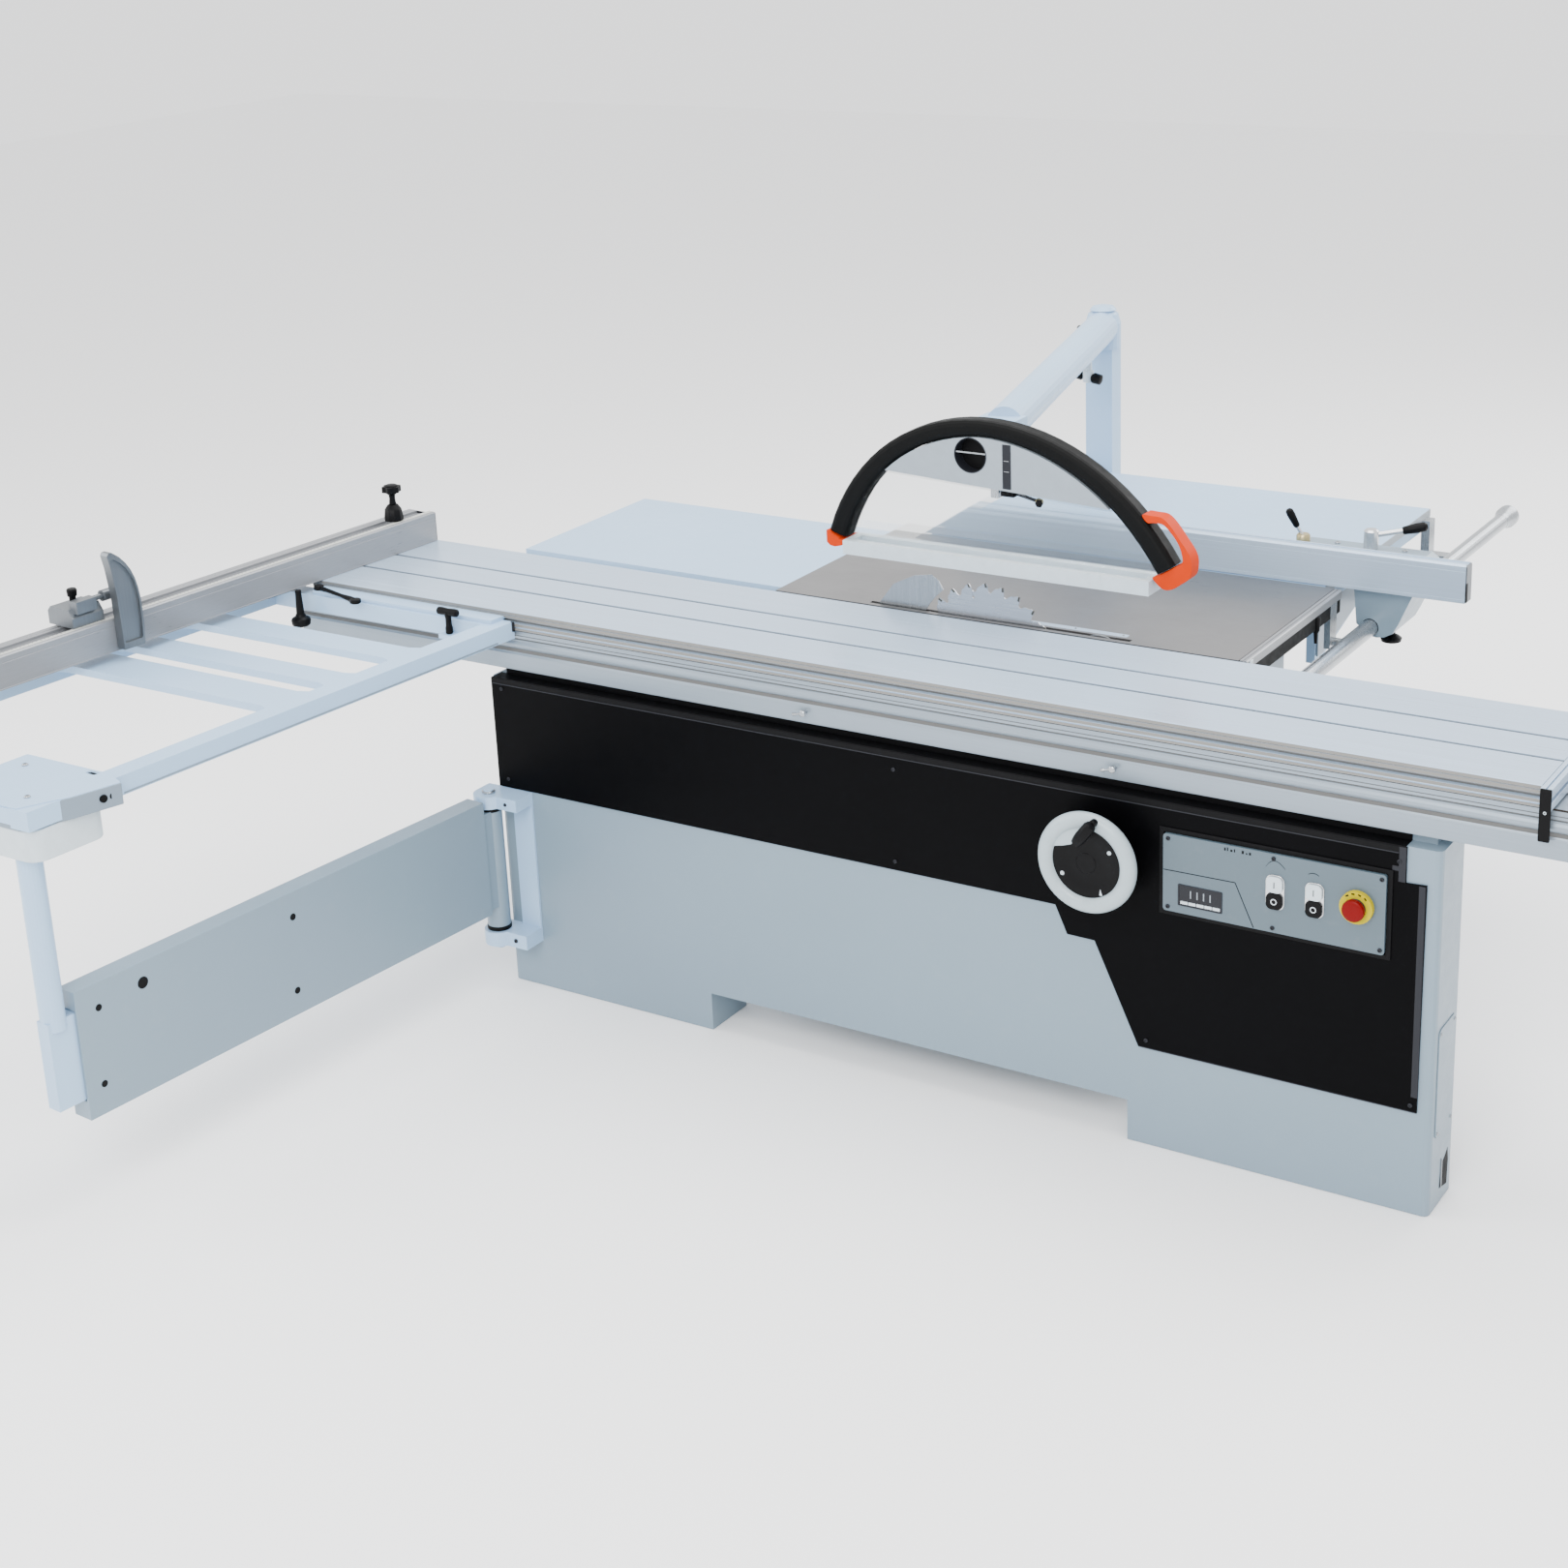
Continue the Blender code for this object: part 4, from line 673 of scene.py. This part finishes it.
for k in range(4):
    angle = radians(128 - 26 * k)
    a0, a1 = angle - radians(6), angle + radians(6)
    arrows.append(prism([on_circle((x, z), r, a) for a, r in ((a0, 0.025), (a1, 0.0262), (a1, 0.029),
        (a0, 0.0282))], "Y", -0.0231, -0.0226))
fixed("estop_marks", "ink_and_shade", arrows)
fixed("estop_collar", "charcoal", [lathe("Y", (x, z), [(-0.0229, 0.0128), (-0.0242, 0.0128),
    (-0.0242, 0.0175), (-0.0229, 0.0185)], 40, ring=True)])
cap = [(-0.0208, 0.0118), (-0.0296, 0.0118), (-0.0298, 0.0182), (-0.0312, 0.0208), (-0.036, 0.021),
    (-0.0395, 0.02), (-0.0412, 0.017), (-0.0418, 0.011), (-0.0414, 0.004)]
piece("estop_cap", "estop_button", "red", [lathe("Y", (x, z), cap, 56)], soft=0.0004, replaces=True)

# -------- handwheel
wx, wz = 1.461, 0.599
rim = [(-0.061 - 0.0148 * sin(t), 0.0848 + 0.0165 * cos(t)) for t in (tau * i / 20 for i in range(20))]
piece("wheel_rim", "handwheel", "ring_grey", [lathe("Y", (wx, wz), rim, 72, ring=True)], replaces=True)
dish = [(-0.05, 0.074), (-0.056, 0.075), (-0.064, 0.073), (-0.066, 0.07), (-0.0662, 0.05), (-0.065, 0.047),
    (-0.065, 0.021), (-0.0668, 0.019), (-0.0672, 0.012), (-0.0665, 0.006)]
piece("wheel_disc", "handwheel", "black", [lathe("Y", (wx, wz), dish, 72)])
piece("wheel_shaft", "handwheel", "steel", [rod("Y", (wx, wz), 0.014, -0.052, 0.08),
    rod("Y", (wx, wz), 0.028, -0.052, -0.02)], soft=0.0008, join=False)
shelf = [on_circle((wx, wz), 0.072, radians(a)) for a in range(92, 169, 7)]
shelf += [(wx - 0.048, wz + 0.027), (wx - 0.03, wz + 0.033), (wx - 0.022, wz + 0.045)]
piece("wheel_shelf", "handwheel", "ring_grey", [prism(shelf, "Y", -0.0676, -0.06)], soft=0.0012)
piece("wheel_marks", "handwheel", "white", [screw("Y", (1.509, 0.629), -0.0655, -1, 0.0042),
    screw("Y", (1.412, 0.57), -0.0655, -1, 0.0042), prism([(1.489, 0.54), (1.495, 0.54), (1.4905, 0.552)],
    "Y", -0.0672, -0.0655)])
start, end = Vector((1.484, -0.0895, 0.69)), Vector((1.45, -0.0895, 0.645))
piece("wheel_grip", "handwheel_handle", "black", [turned(start, end, [(0.0, 0.005), (0.002, 0.01),
    (0.008, 0.0122), (0.036, 0.0124), (0.046, 0.0112), (0.0535, 0.0095), (0.0564, 0.005)], 28),
    bar((1.482, -0.086, 0.688), (1.482, -0.07, 0.688), 0.0075)], replaces=True)

# -------- crosscut frame
FX0, FX1, FY_END = -0.62, 0.078, -1.25
frame_adds = [box(FX0, FX1, -0.048, -0.003, 0.822, 0.86), box(-0.46, 0.05, -0.04, -0.003, 0.832, 0.8685),
    box(-0.46, 0.05, -0.02, 0.0078, 0.8617, 0.8683), box(FX1 - 0.048, FX1, FY_END, -0.04, 0.822, 0.86),
    box(FX0, FX0 + 0.05, FY_END, -0.04, 0.822, 0.86)]


def flat_member(y0, y1, neck=0.03):
    """A flat bar between the side members whose edges flare out to meet them."""
    near, far = FX0 + 0.045, FX1 - 0.043
    flare = 0.012
    return prism([(near, y0 - flare), (near + neck, y0), (far - neck, y0), (far, y0 - flare),
        (far, y1 + flare), (far - neck, y1), (near + neck, y1), (near, y1 + flare)], "Z", 0.843, 0.859)


for low, high in ((-0.309, -0.235), (-0.486, -0.418), (-0.64, -0.544)):
    frame_adds.append(flat_member(low, high))
frame_adds.append(box(FX0 + 0.005, FX1 - 0.005, FY_END, FY_END + 0.05, 0.828, 0.859))
frame_adds.append(box(-0.068, -0.038, -0.074, -0.046, 0.8221, 0.8318))
piece("frame_weldment", FRAME, "paint_light", frame_adds, soft=0.0022, replaces=True, join=False)
plate_outline = [(-0.17, -1.045), (FX1 - 0.02, -1.045), (FX1 + 0.028, -1.066), (FX1 + 0.008, -1.16),
    (FX1 - 0.03, FY_END + 0.001), (-0.17, FY_END + 0.001)]
sx, sy = -0.07 + LEAN * 1.058, -1.058
# The plate's body in darker paint than its top cap: painted shade on its side faces.
piece("corner_casting", FRAME, "frame_shade", [prism(plate_outline, "Z", 0.818, 0.859)], soft=0.002)
middle = sum((Vector(p) for p in plate_outline), Vector((0.0, 0.0))) / len(plate_outline)
cover = [tuple(middle + (Vector(p) - middle) * 0.985) for p in plate_outline]
piece("corner_plate", FRAME, "paint_light", [prism(cover, "Z", 0.8585, 0.862)], [slab((sx - 0.014, sx + 0.014,
    sy - 0.0065, sy + 0.0065, 0.006), "Z", 0.859, 0.87)], soft=0.0012, segments=3)
# A black sheet in the plate's slot: painted shade inside the slot.
piece("corner_slot_shade", FRAME, "ink_and_shade", [slab((sx - 0.0138, sx + 0.0138, sy - 0.0062, sy + 0.0062, 0.006), "Z",
    0.8586, 0.8592)])
piece("corner_bolts", FRAME, "steel", [screw("Z", (x, y), 0.8618, 1, 0.006) for x,
    y in ((-0.12, -1.09), (-0.12, -1.2), (0.02, -1.2))])
pads = [rod("X", (y, 0.84), 0.0075, 0.088, 0.1015, 24) for y in (-1.0835, -1.103)]
piece("corner_side_bolts", FRAME, "rubber", pads, soft=0.001)
piece("corner_boss", FRAME, "white", [slab((-0.0885, 0.0765, -1.245, -1.08, 0.03, 8), "Z", 0.756, 0.8185)],
    soft=0.004)
ends = [slab((-0.01, -0.004, 0.838, 0.861, 0.0028), "X", FX1 - 0.004, FX1 + 0.0024),
    slab((-0.0445, -0.0065, 0.825, 0.857, 0.003), "X", FX0 - 0.0016, FX0 + 0.001)]
piece("frame_end_caps", FRAME, "charcoal", ends, soft=0.0006)
# A darker strip low on the frame's side face: painted shade.
piece("frame_side_shade", FRAME, "frame_shade", [box(0.077, 0.0795, -1.04, -0.055, 0.8245, 0.8275)], soft=0.0006)
x, y = -0.454, -0.03
tip = (x + 0.146, y - 0.042)
piece("flat_lever", "frame_lever_flat", "black", [lathe("Z", (x, y), [(0.869, 0.01), (0.87, 0.0112),
    (0.877, 0.0112), (0.8784, 0.0095)], 32), turned((x, y, 0.8738), (tip[0], tip[1], 0.8738),
    [(0.0, 0.0048), (0.05, 0.0046), (0.09, 0.0042), (0.11, 0.0052), (0.128, 0.0066), (0.15, 0.0066),
    (0.157, 0.004)]), lathe("Z", tip, [(0.8682, 0.0095), (0.87, 0.0125), (0.8775, 0.0125), (0.879, 0.0095)],
    32)], replaces=True)
x, y = -0.053, -0.062
piece("upright_lever", "frame_lever_upright", "black", [lathe("Z", (x, y), [(0.8326, 0.007), (0.834, 0.0082),
    (0.846, 0.0082), (0.85, 0.0068), (0.868, 0.0066), (0.874, 0.008), (0.88, 0.0085)], 28),
    turned((x - 0.028, y, 0.8812), (x + 0.028, y, 0.8812), [(0.0, 0.005), (0.003, 0.0082), (0.012, 0.0088),
    (0.028, 0.0076), (0.044, 0.0088), (0.053, 0.0082), (0.056, 0.005)])], replaces=True)

# -------- crosscut fence, stops and hold-down
cx0, cx1 = -0.57, -0.48
channel = cx1 - 0.02
face = [(cx0, 0.8805), (cx1, 0.8805), (cx1, 0.883), (cx1 - 0.0008, 0.8838), (cx1, 0.8846), (cx1, 0.935),
    (cx1 - 0.0008, 0.9358), (cx1, 0.9366), (cx1, 0.948), (cx1 - 0.003, 0.9505)]
face += [(channel - back, z) for back, z in ((0.0, 0.9505), (0.0, 0.94), (0.006, 0.94), (0.006, 0.9365),
    (0.0035, 0.9365), (0.0035, 0.9315), (0.0185, 0.9315), (0.0185, 0.9365), (0.016, 0.9365), (0.016, 0.94))]
face += [(cx0 + 0.03, 0.94), (cx0 + 0.03, 0.946), (cx0 + 0.022, 0.946), (cx0 + 0.0215, 0.945),
    (cx0 + 0.0185, 0.945), (cx0 + 0.018, 0.946), (cx0 + 0.004, 0.946), (cx0, 0.942)]
piece("fence_bar", FENCE, "alu_y", [prism(face, "Y", -1.25, 0.3625)], [box(cx0 + 0.0145, cx1 - 0.034, -1.4,
    0.3, 0.89, 0.926)], soft=0.0004, replaces=True)
piece("fence_bar_cap", FENCE, "charcoal", [prism([(cx0 + 0.001, 0.8815), (cx1 - 0.001, 0.8815),
    (cx1 - 0.001, 0.9475), (cx1 - 0.004, 0.9495), (channel, 0.9495), (channel - 0.01, 0.945),
    (cx0 + 0.004, 0.945), (cx0 + 0.001, 0.9415)], "Y", 0.3624, 0.3652)], soft=0.0008)
piece("fence_scale", FENCE, "tape", [box(channel + 0.002, channel + 0.013, -1.248, 0.36, 0.9504, 0.9508)])
ticks = []
for i in range(155):
    y = -1.24 + 0.01 * i
    long = 0.0085 if i % 10 == 0 else 0.006 if i % 5 == 0 else 0.0038
    ticks.append(box(channel + 0.0022, channel + 0.0022 + long, y - 0.0004, y + 0.0004, 0.9505, 0.95095))
piece("fence_scale_ticks", FENCE, "ink_and_shade", ticks)
piece("fence_screws", FENCE, "steel", [screw("Z", (channel - 0.012, y), 0.9315, 1, 0.0045) for y in (-1.15,
    -0.8, 0.05, 0.15, 0.335)])
# A thin black plate under the fence: painted shadow of the fence.
piece("fence_shadow_plate", FENCE, "rubber", [slab((-0.55, -0.481, -0.16, -0.07, 0.006), "Z", 0.8793, 0.8803)],
    soft=0.0008)
piece("fence_knob_stem", "fence_knob", "black", [lathe("Z", (-0.468, -0.082), [(0.815, 0.011),
    (0.826, 0.0092), (0.84, 0.0086), (0.87, 0.007), (0.8795, 0.007)], 28)], replaces=True)
piece("fence_knob_head", "fence_knob", "black", [lathe("Z", (-0.468, -0.082), [(0.7962, 0.013),
    (0.798, 0.018), (0.801, 0.0205), (0.811, 0.0218), (0.815, 0.02), (0.8195, 0.0125), (0.825, 0.01)], 40)])
blade_shape = [(-0.568, 0.886), (-0.518, 0.886), (-0.515, 0.889), (-0.512, 0.93), (-0.513, 0.985),
    (-0.516, 1.009), (-0.521, 1.03), (-0.529, 1.05), (-0.54, 1.068), (-0.555, 1.085), (-0.572, 1.098),
    (-0.58, 1.0975), (-0.584, 1.092), (-0.578, 1.062), (-0.571, 1.0)]
middle = Vector((-0.543, 0.985))
inner = [tuple(middle + (Vector(p) - middle) * 0.86) for p in blade_shape]
piece("stop_casting", "flip_stop", "alu_cast", [prism(blade_shape, "X", -0.4785, -0.456),
    rod("Y", (-0.5, 1.0), 0.012, -0.578, -0.5, 32), box(-0.5, -0.46, -0.565, -0.52, 0.992, 1.008)],
    [prism(inner, "X", -0.462, -0.45), rod("Y", (-0.5, 1.0), 0.0068, -0.6, -0.572, 24)], soft=0.0016,
    replaces=True, join=False)
y0 = -0.66
piece("clamp_body", "stop_clamp", "alu_cast", [prism([(cx0 - 0.004, 0.9512), (cx1 - 0.014, 0.9512),
    (cx1 - 0.014, 0.972), (cx1 - 0.026, 0.99), (cx0 + 0.006, 0.99), (cx0 - 0.004, 0.98)], "Y", y0,
    y0 + 0.078), turned((-0.5, y0 + 0.02, 1.0), (-0.5, y0 + 0.086, 1.0), [(0.0, 0.006), (0.066, 0.006)]),
    box(-0.512, -0.488, y0 + 0.01, y0 + 0.06, 0.98, 1.006)], soft=0.0018, replaces=True, join=False)
piece("clamp_knob", "stop_clamp", "black", [lathe("Z", (-0.54, y0 + 0.04), [(0.9895, 0.007), (1.003, 0.007),
    (1.006, 0.01), (1.018, 0.011), (1.021, 0.009)], 32)])
x, y = -0.512, 0.262
piece("clamp_foot", FENCE, "black", [lathe("Z", (x, y), [(0.9512, 0.021), (0.953, 0.0228), (0.96, 0.0228),
    (0.978, 0.02), (0.985, 0.015), (0.9898, 0.011)], 10)], soft=0.0014, replaces=("hold_down_bracket",))
piece("clamp_star", "hold_down_knob", "black", [lathe("Z", (x, y), [(0.9905, 0.0085), (1.004, 0.007),
    (1.012, 0.0078), (1.018, 0.015)], 28), prism([on_circle((x, y), 0.0205 + 0.0022 * cos(6 * a),
    a) for a in (tau * i / 72 for i in range(72))], "Z", 1.019, 1.033), lathe("Z", (x, y),
    [(1.0328, 0.016), (1.035, 0.015), (1.0366, 0.011)], 32)], soft=0.0012, replaces=True)

# -------- swing arm
ax, ay = 0.004, -0.045
beam = [rod("Z", (ax, ay), 0.026, 0.1465, 0.439, 48), box(ax - 0.02, ax + 0.02, ay - 0.06, ay - 0.01, 0.205,
    0.432), box(ax - 0.024, ax + 0.024, ay - 1.13, ay - 0.042, 0.197, 0.463)]
holes = [rod("Z", (ax, ay), 0.012, 0.1, 0.5, 24), box(ax - 0.018, ax + 0.018, ay - 1.2, ay - 0.12, 0.236,
    0.424)]
bosses = ((0.598, 0.41, 0.0072), (0.607, 0.25, 0.0072), (0.975, 0.421, 0.012), (1.08, 0.413, 0.007),
    (1.09, 0.258, 0.007))
piece("arm_beam", "swing_arm", "paint", beam, holes, soft=0.003, replaces=True, join=False)
# Thin black discs at the bolt holes: painted shade inside the holes.
hole_shades = [lathe("X", (ay - far, z), [(ax + 0.0238, radius), (ax + 0.0246, radius),
    (ax + 0.0246, radius * 0.8)], 28) for far, z, radius in bosses]
piece("arm_bolt_hole_shade", "swing_arm", "ink_and_shade", hole_shades)
for side, low in (("top", 0.4296), ("bottom", 0.1467)):
    piece("hinge_bush_" + side, "swing_arm", "rubber", [lathe("Z", (ax, ay), [(low, 0.02), (low, 0.0272),
        (low + 0.0092, 0.0272), (low + 0.0092, 0.02)], 40, ring=True)], soft=0.0006)
lug = [(0.09, -0.0005), (0.09, ay - 0.0145), (ax + 0.032, ay - 0.0145)]
lug += [on_circle((ax, ay), 0.034, radians(a)) for a in range(330, 175, -8)]
lug += [(ax - 0.034, -0.0005)]
fixed("hinge_lugs", "paint_light", [prism(lug, "Z", 0.4402, 0.4683), prism(lug, "Z", 0.1122, 0.1453),
    box(ax + 0.034, 0.0898, -0.006, -0.0006, 0.113, 0.468), rod("Z", (ax, ay), 0.0112, 0.1, 0.476, 32)],
    soft=0.003, replaces=("hinge_bracket",), join=False)
fixed("hinge_pin_cap", "steel", [lathe("Z", (ax, ay), [(0.468, 0.015), (0.472, 0.015), (0.474, 0.0125)], 32),
    lathe("Z", (ax, ay), [(0.1125, 0.014), (0.106, 0.014), (0.104, 0.012), (0.0985, 0.008)], 32)])
fixed("hinge_screws", "charcoal", [screw("Y", (0.06, 0.454), -0.0592, -1, 0.004),
    screw("Y", (0.06, 0.129), -0.0592, -1, 0.005)])

# -------- overhead guard
port = (0.993, 1.232)
piece("port_ring", HOOD, "charcoal", [lathe("Y", port, [(0.3668, 0.035), (0.3668, 0.0368), (0.3684, 0.0368),
    (0.396, 0.0358), (0.396, 0.0345)], 56, ring=True)], soft=0.0004)
# A black disc inside the dust port: painted shade in the opening.
piece("port_shade", HOOD, "ink_and_shade", [rod("Y", port, 0.0356, 0.3955, 0.3975, 48)])
piece("port_bar", HOOD, "steel", [box(port[0] - 0.0345, port[0] + 0.0345, 0.37, 0.374, port[1] + 0.003,
    port[1] + 0.0062)], soft=0.0005)
piece("hood_strip", HOOD, "charcoal", [box(1.0665, 1.085, 0.3664, 0.3684, 1.17, 1.262)], soft=0.0006)
piece("hood_strip_window", HOOD, "steel", [box(1.07, 1.0815, 0.366, 0.3667, z, z + 0.001) for z in (1.206,
    1.228)])
piece("hood_bracket", HOOD, "steel", [box(1.034, 1.052, 0.376, 0.4, 1.146, 1.168)], soft=0.001)
piece("hood_block", HOOD, "black", [box(1.058, 1.088, 0.374, 0.398, 1.152, 1.166)], soft=0.001)
piece("hood_spindle", HOOD, "charcoal", [bar((1.086, 0.386, 1.158), (1.141, 0.38, 1.149), 0.0035)])
piece("hood_knob", HOOD, "brass", [turned((1.136, 0.381, 1.149), (1.15, 0.3795, 1.147),
    [(0.0, 0.004), (0.001, 0.007), (0.011, 0.007), (0.013, 0.005)])])
piece("hood_knob_grip", HOOD, "black", [lathe("Y", (1.145, 1.147), [(0.37, 0.0062), (0.3706, 0.0086),
    (0.374, 0.0086), (0.375, 0.006)], 6)], soft=0.0006)


def smooth_loop(points, steps=5):
    """A closed Catmull-Rom curve through the points."""
    curve = []
    count = len(points)
    for i in range(count):
        p0, p1, p2, p3 = (Vector(points[(i + k - 1) % count]) for k in range(4))
        for k in range(steps):
            t = k / steps
            curve.append(0.5 * (2 * p1 + (p2 - p0) * t + (2 * p0 - 5 * p1 + 4 * p2 - p3) * t * t + (3 * p1 -
                p0 - 3 * p2 + p3) * t * t * t))
    return curve


loop = [(1.37, 1.1495), (1.39, 1.15), (1.412, 1.148), (1.43, 1.1335), (1.453, 1.104), (1.47, 1.08),
    (1.476, 1.059), (1.472, 1.034), (1.454, 1.018), (1.4319, 1.004), (1.413, 1.004), (1.394, 1.0205),
    (1.3945, 1.026), (1.41, 1.033), (1.4405, 1.052), (1.4555, 1.061), (1.4545, 1.079), (1.447, 1.099),
    (1.432, 1.119), (1.415, 1.1345), (1.396, 1.136), (1.381, 1.135)]
piece("loop_handle", HOOD, "orange", [prism(smooth_loop(loop), "Y", 0.3725, 0.4075)], soft=0.0045, segments=4,
    replaces=("guard_handle",))
post = (0.695, 1.6)
piece("guard_pivot_cap", "guard_arm", "paint_light", [lathe("Z", post, [(1.278, 0.033), (1.286, 0.026),
    (1.289, 0.012)], 40)])
x, y = 0.7516, 1.4
piece("guard_lock_hub", "guard_lock_lever", "white", [lathe("Z", (x, y), [(1.142, 0.0085), (1.144, 0.013),
    (1.17, 0.013), (1.172, 0.009), (1.2, 0.009)], 28)], replaces=True)
piece("guard_lock_grip", "guard_lock_lever", "black", [turned((x - 0.034, y, 1.1625), (x + 0.036, y, 1.15),
    [(0.0, 0.006), (0.003, 0.0125), (0.018, 0.013), (0.026, 0.006), (0.042, 0.006), (0.05, 0.013),
    (0.068, 0.0125), (0.071, 0.006)])])
piece("post_bits", "guard_arm", "black", [turned((0.724, 1.545, 1.226), (0.741, 1.535, 1.214),
    [(0.0, 0.005), (0.002, 0.0085), (0.016, 0.0085), (0.019, 0.0045)]), turned((0.66, 1.56, 1.23),
    (0.65, 1.55, 1.242), [(0.0, 0.004), (0.002, 0.007), (0.014, 0.007), (0.017, 0.004)])])
fixed("post_bolts", "steel", [screw("Z", (post[0] + dx, post[1] + dy), 0.012, 1, 0.008) for dx in (-0.12,
    0.12) for dy in (-0.065, 0.085)])

# -------- body, door and dust outlet
louvres = []
for i in range(9):
    z = 0.3 + 0.026 * i
    louvres.append(prism([(0.7994, z), (0.806, z + 0.002), (0.8065, z + 0.004), (0.7994, z + 0.016)], "X",
        0.93, 1.17))
piece("door_louvres", "rear_door", "paint", louvres, soft=0.0006)
piece("door_latch", "rear_door", "black", [lathe("Y", (1.3, 0.45), [(0.7994, 0.013), (0.805, 0.013),
    (0.806, 0.011)], 32), box(1.297, 1.303, 0.805, 0.812, 0.436, 0.464)], soft=0.0008)
piece("door_hinges", "rear_door", "steel", [rod("Z", (0.759, 0.8025), 0.0045, z, z + 0.06, 20) for z in (0.26,
    0.58)], soft=0.0006)
fixed("body_seam_screws", "steel", [screw("Y", (x, z), 0.8, 1, 0.0045) for x in (0.64, 1.05,
    1.46) for z in (0.165, 0.76)])
fixed("body_side_screws", "steel", [screw("X", (y, z), 1.5, 1, 0.0045) for y in (0.2, 0.5,
    0.76) for z in (0.17, 0.72)])
fixed("duct_lip", "steel", [lathe("X", (0.6, 0.3), [(low, 0.0595), (low, 0.0612), (high, 0.0612),
    (high, 0.0595)], 56, ring=True) for low, high in ((0.47, 0.476), (0.5, 0.504))])
fixed("duct_screws", "steel", [screw("X", on_circle((0.6, 0.3), 0.069, a), 0.5921, -1,
    0.004) for a in (tau * (i + 0.5) / 6 for i in range(6))])
fixed("cable_gland", "black", [lathe("X", (0.08, 0.33), [(2.1149, 0.01), (2.116, 0.01)], 24)])


# -------- floor, light and camera
FOCAL, PICTURE_WIDTH = 2609.4, 1620
CAMERA_AT = Vector((3.3876, -3.9809, 2.5164))
CAMERA_YAW, CAMERA_PITCH, CAMERA_ROLL = -0.5822, 0.3193, 0.044


def stage():
    """The pale floor, the soft studio lights and the camera."""
    mesh = bpy.data.meshes.new("floor")
    far, under = 14, -0.001
    mesh.from_pydata([(-far, -far, under), (far, -far, under), (far, far, under), (-far, far, under)], [],
        [(0, 1, 2, 3)])
    floor = new_object("floor", mesh)
    n = Nodes("pale_floor")
    floor.data.materials.append(n.plug(Base_Color=(0.95, 0.95, 0.95, 1.0), Roughness=0.8))
    world = bpy.data.worlds.new("studio")
    world.use_nodes = True
    back = world.node_tree.nodes["Background"]
    back.inputs["Color"].default_value = (0.985, 0.99, 1.0, 1.0)
    back.inputs["Strength"].default_value = 1.75
    bpy.context.scene.world = world
    for name, spot, target, size, power in (("key", (1.7, -5.0, 4.2), (0.6, 0.3, 0.6), 3.2, 330),
            ("fill", (-4.5, -3.0, 3.0), (0.4, 0.2, 0.6), 3.5, 150), ("top", (0.8, 1.0, 5.0), (0.8, 0.4, 0.5),
            4.5, 290), ("back", (2.5, 5.5, 3.2), (0.8, 0.6, 0.8), 3.0, 130)):
        light = bpy.data.lights.new(name, "AREA")
        light.shape = "DISK"
        light.size = size
        light.energy = power
        lamp = new_object(name, light)
        lamp.location = spot
        lamp.rotation_euler = (Vector(target) - Vector(spot)).to_track_quat("-Z", "Y").to_euler()
    camera = bpy.data.cameras.new("camera")
    camera.sensor_width = 36.0
    camera.lens = FOCAL / PICTURE_WIDTH * camera.sensor_width
    camera.shift_y = -0.0988
    camera.clip_end = 60.0
    eye = new_object("camera", camera)
    yaw, pitch, roll = CAMERA_YAW, CAMERA_PITCH, CAMERA_ROLL
    ahead = Vector((cos(pitch) * sin(yaw), cos(pitch) * cos(yaw), -sin(pitch)))
    side = Vector((cos(yaw), -sin(yaw), 0.0))
    down = ahead.cross(side)
    right = cos(roll) * side + sin(roll) * down
    low = -sin(roll) * side + cos(roll) * down
    place = Matrix((right, -low, -ahead)).transposed().to_4x4()
    place.translation = CAMERA_AT - ORIGIN
    eye.matrix_world = place
    bpy.context.scene.camera = eye


stage()
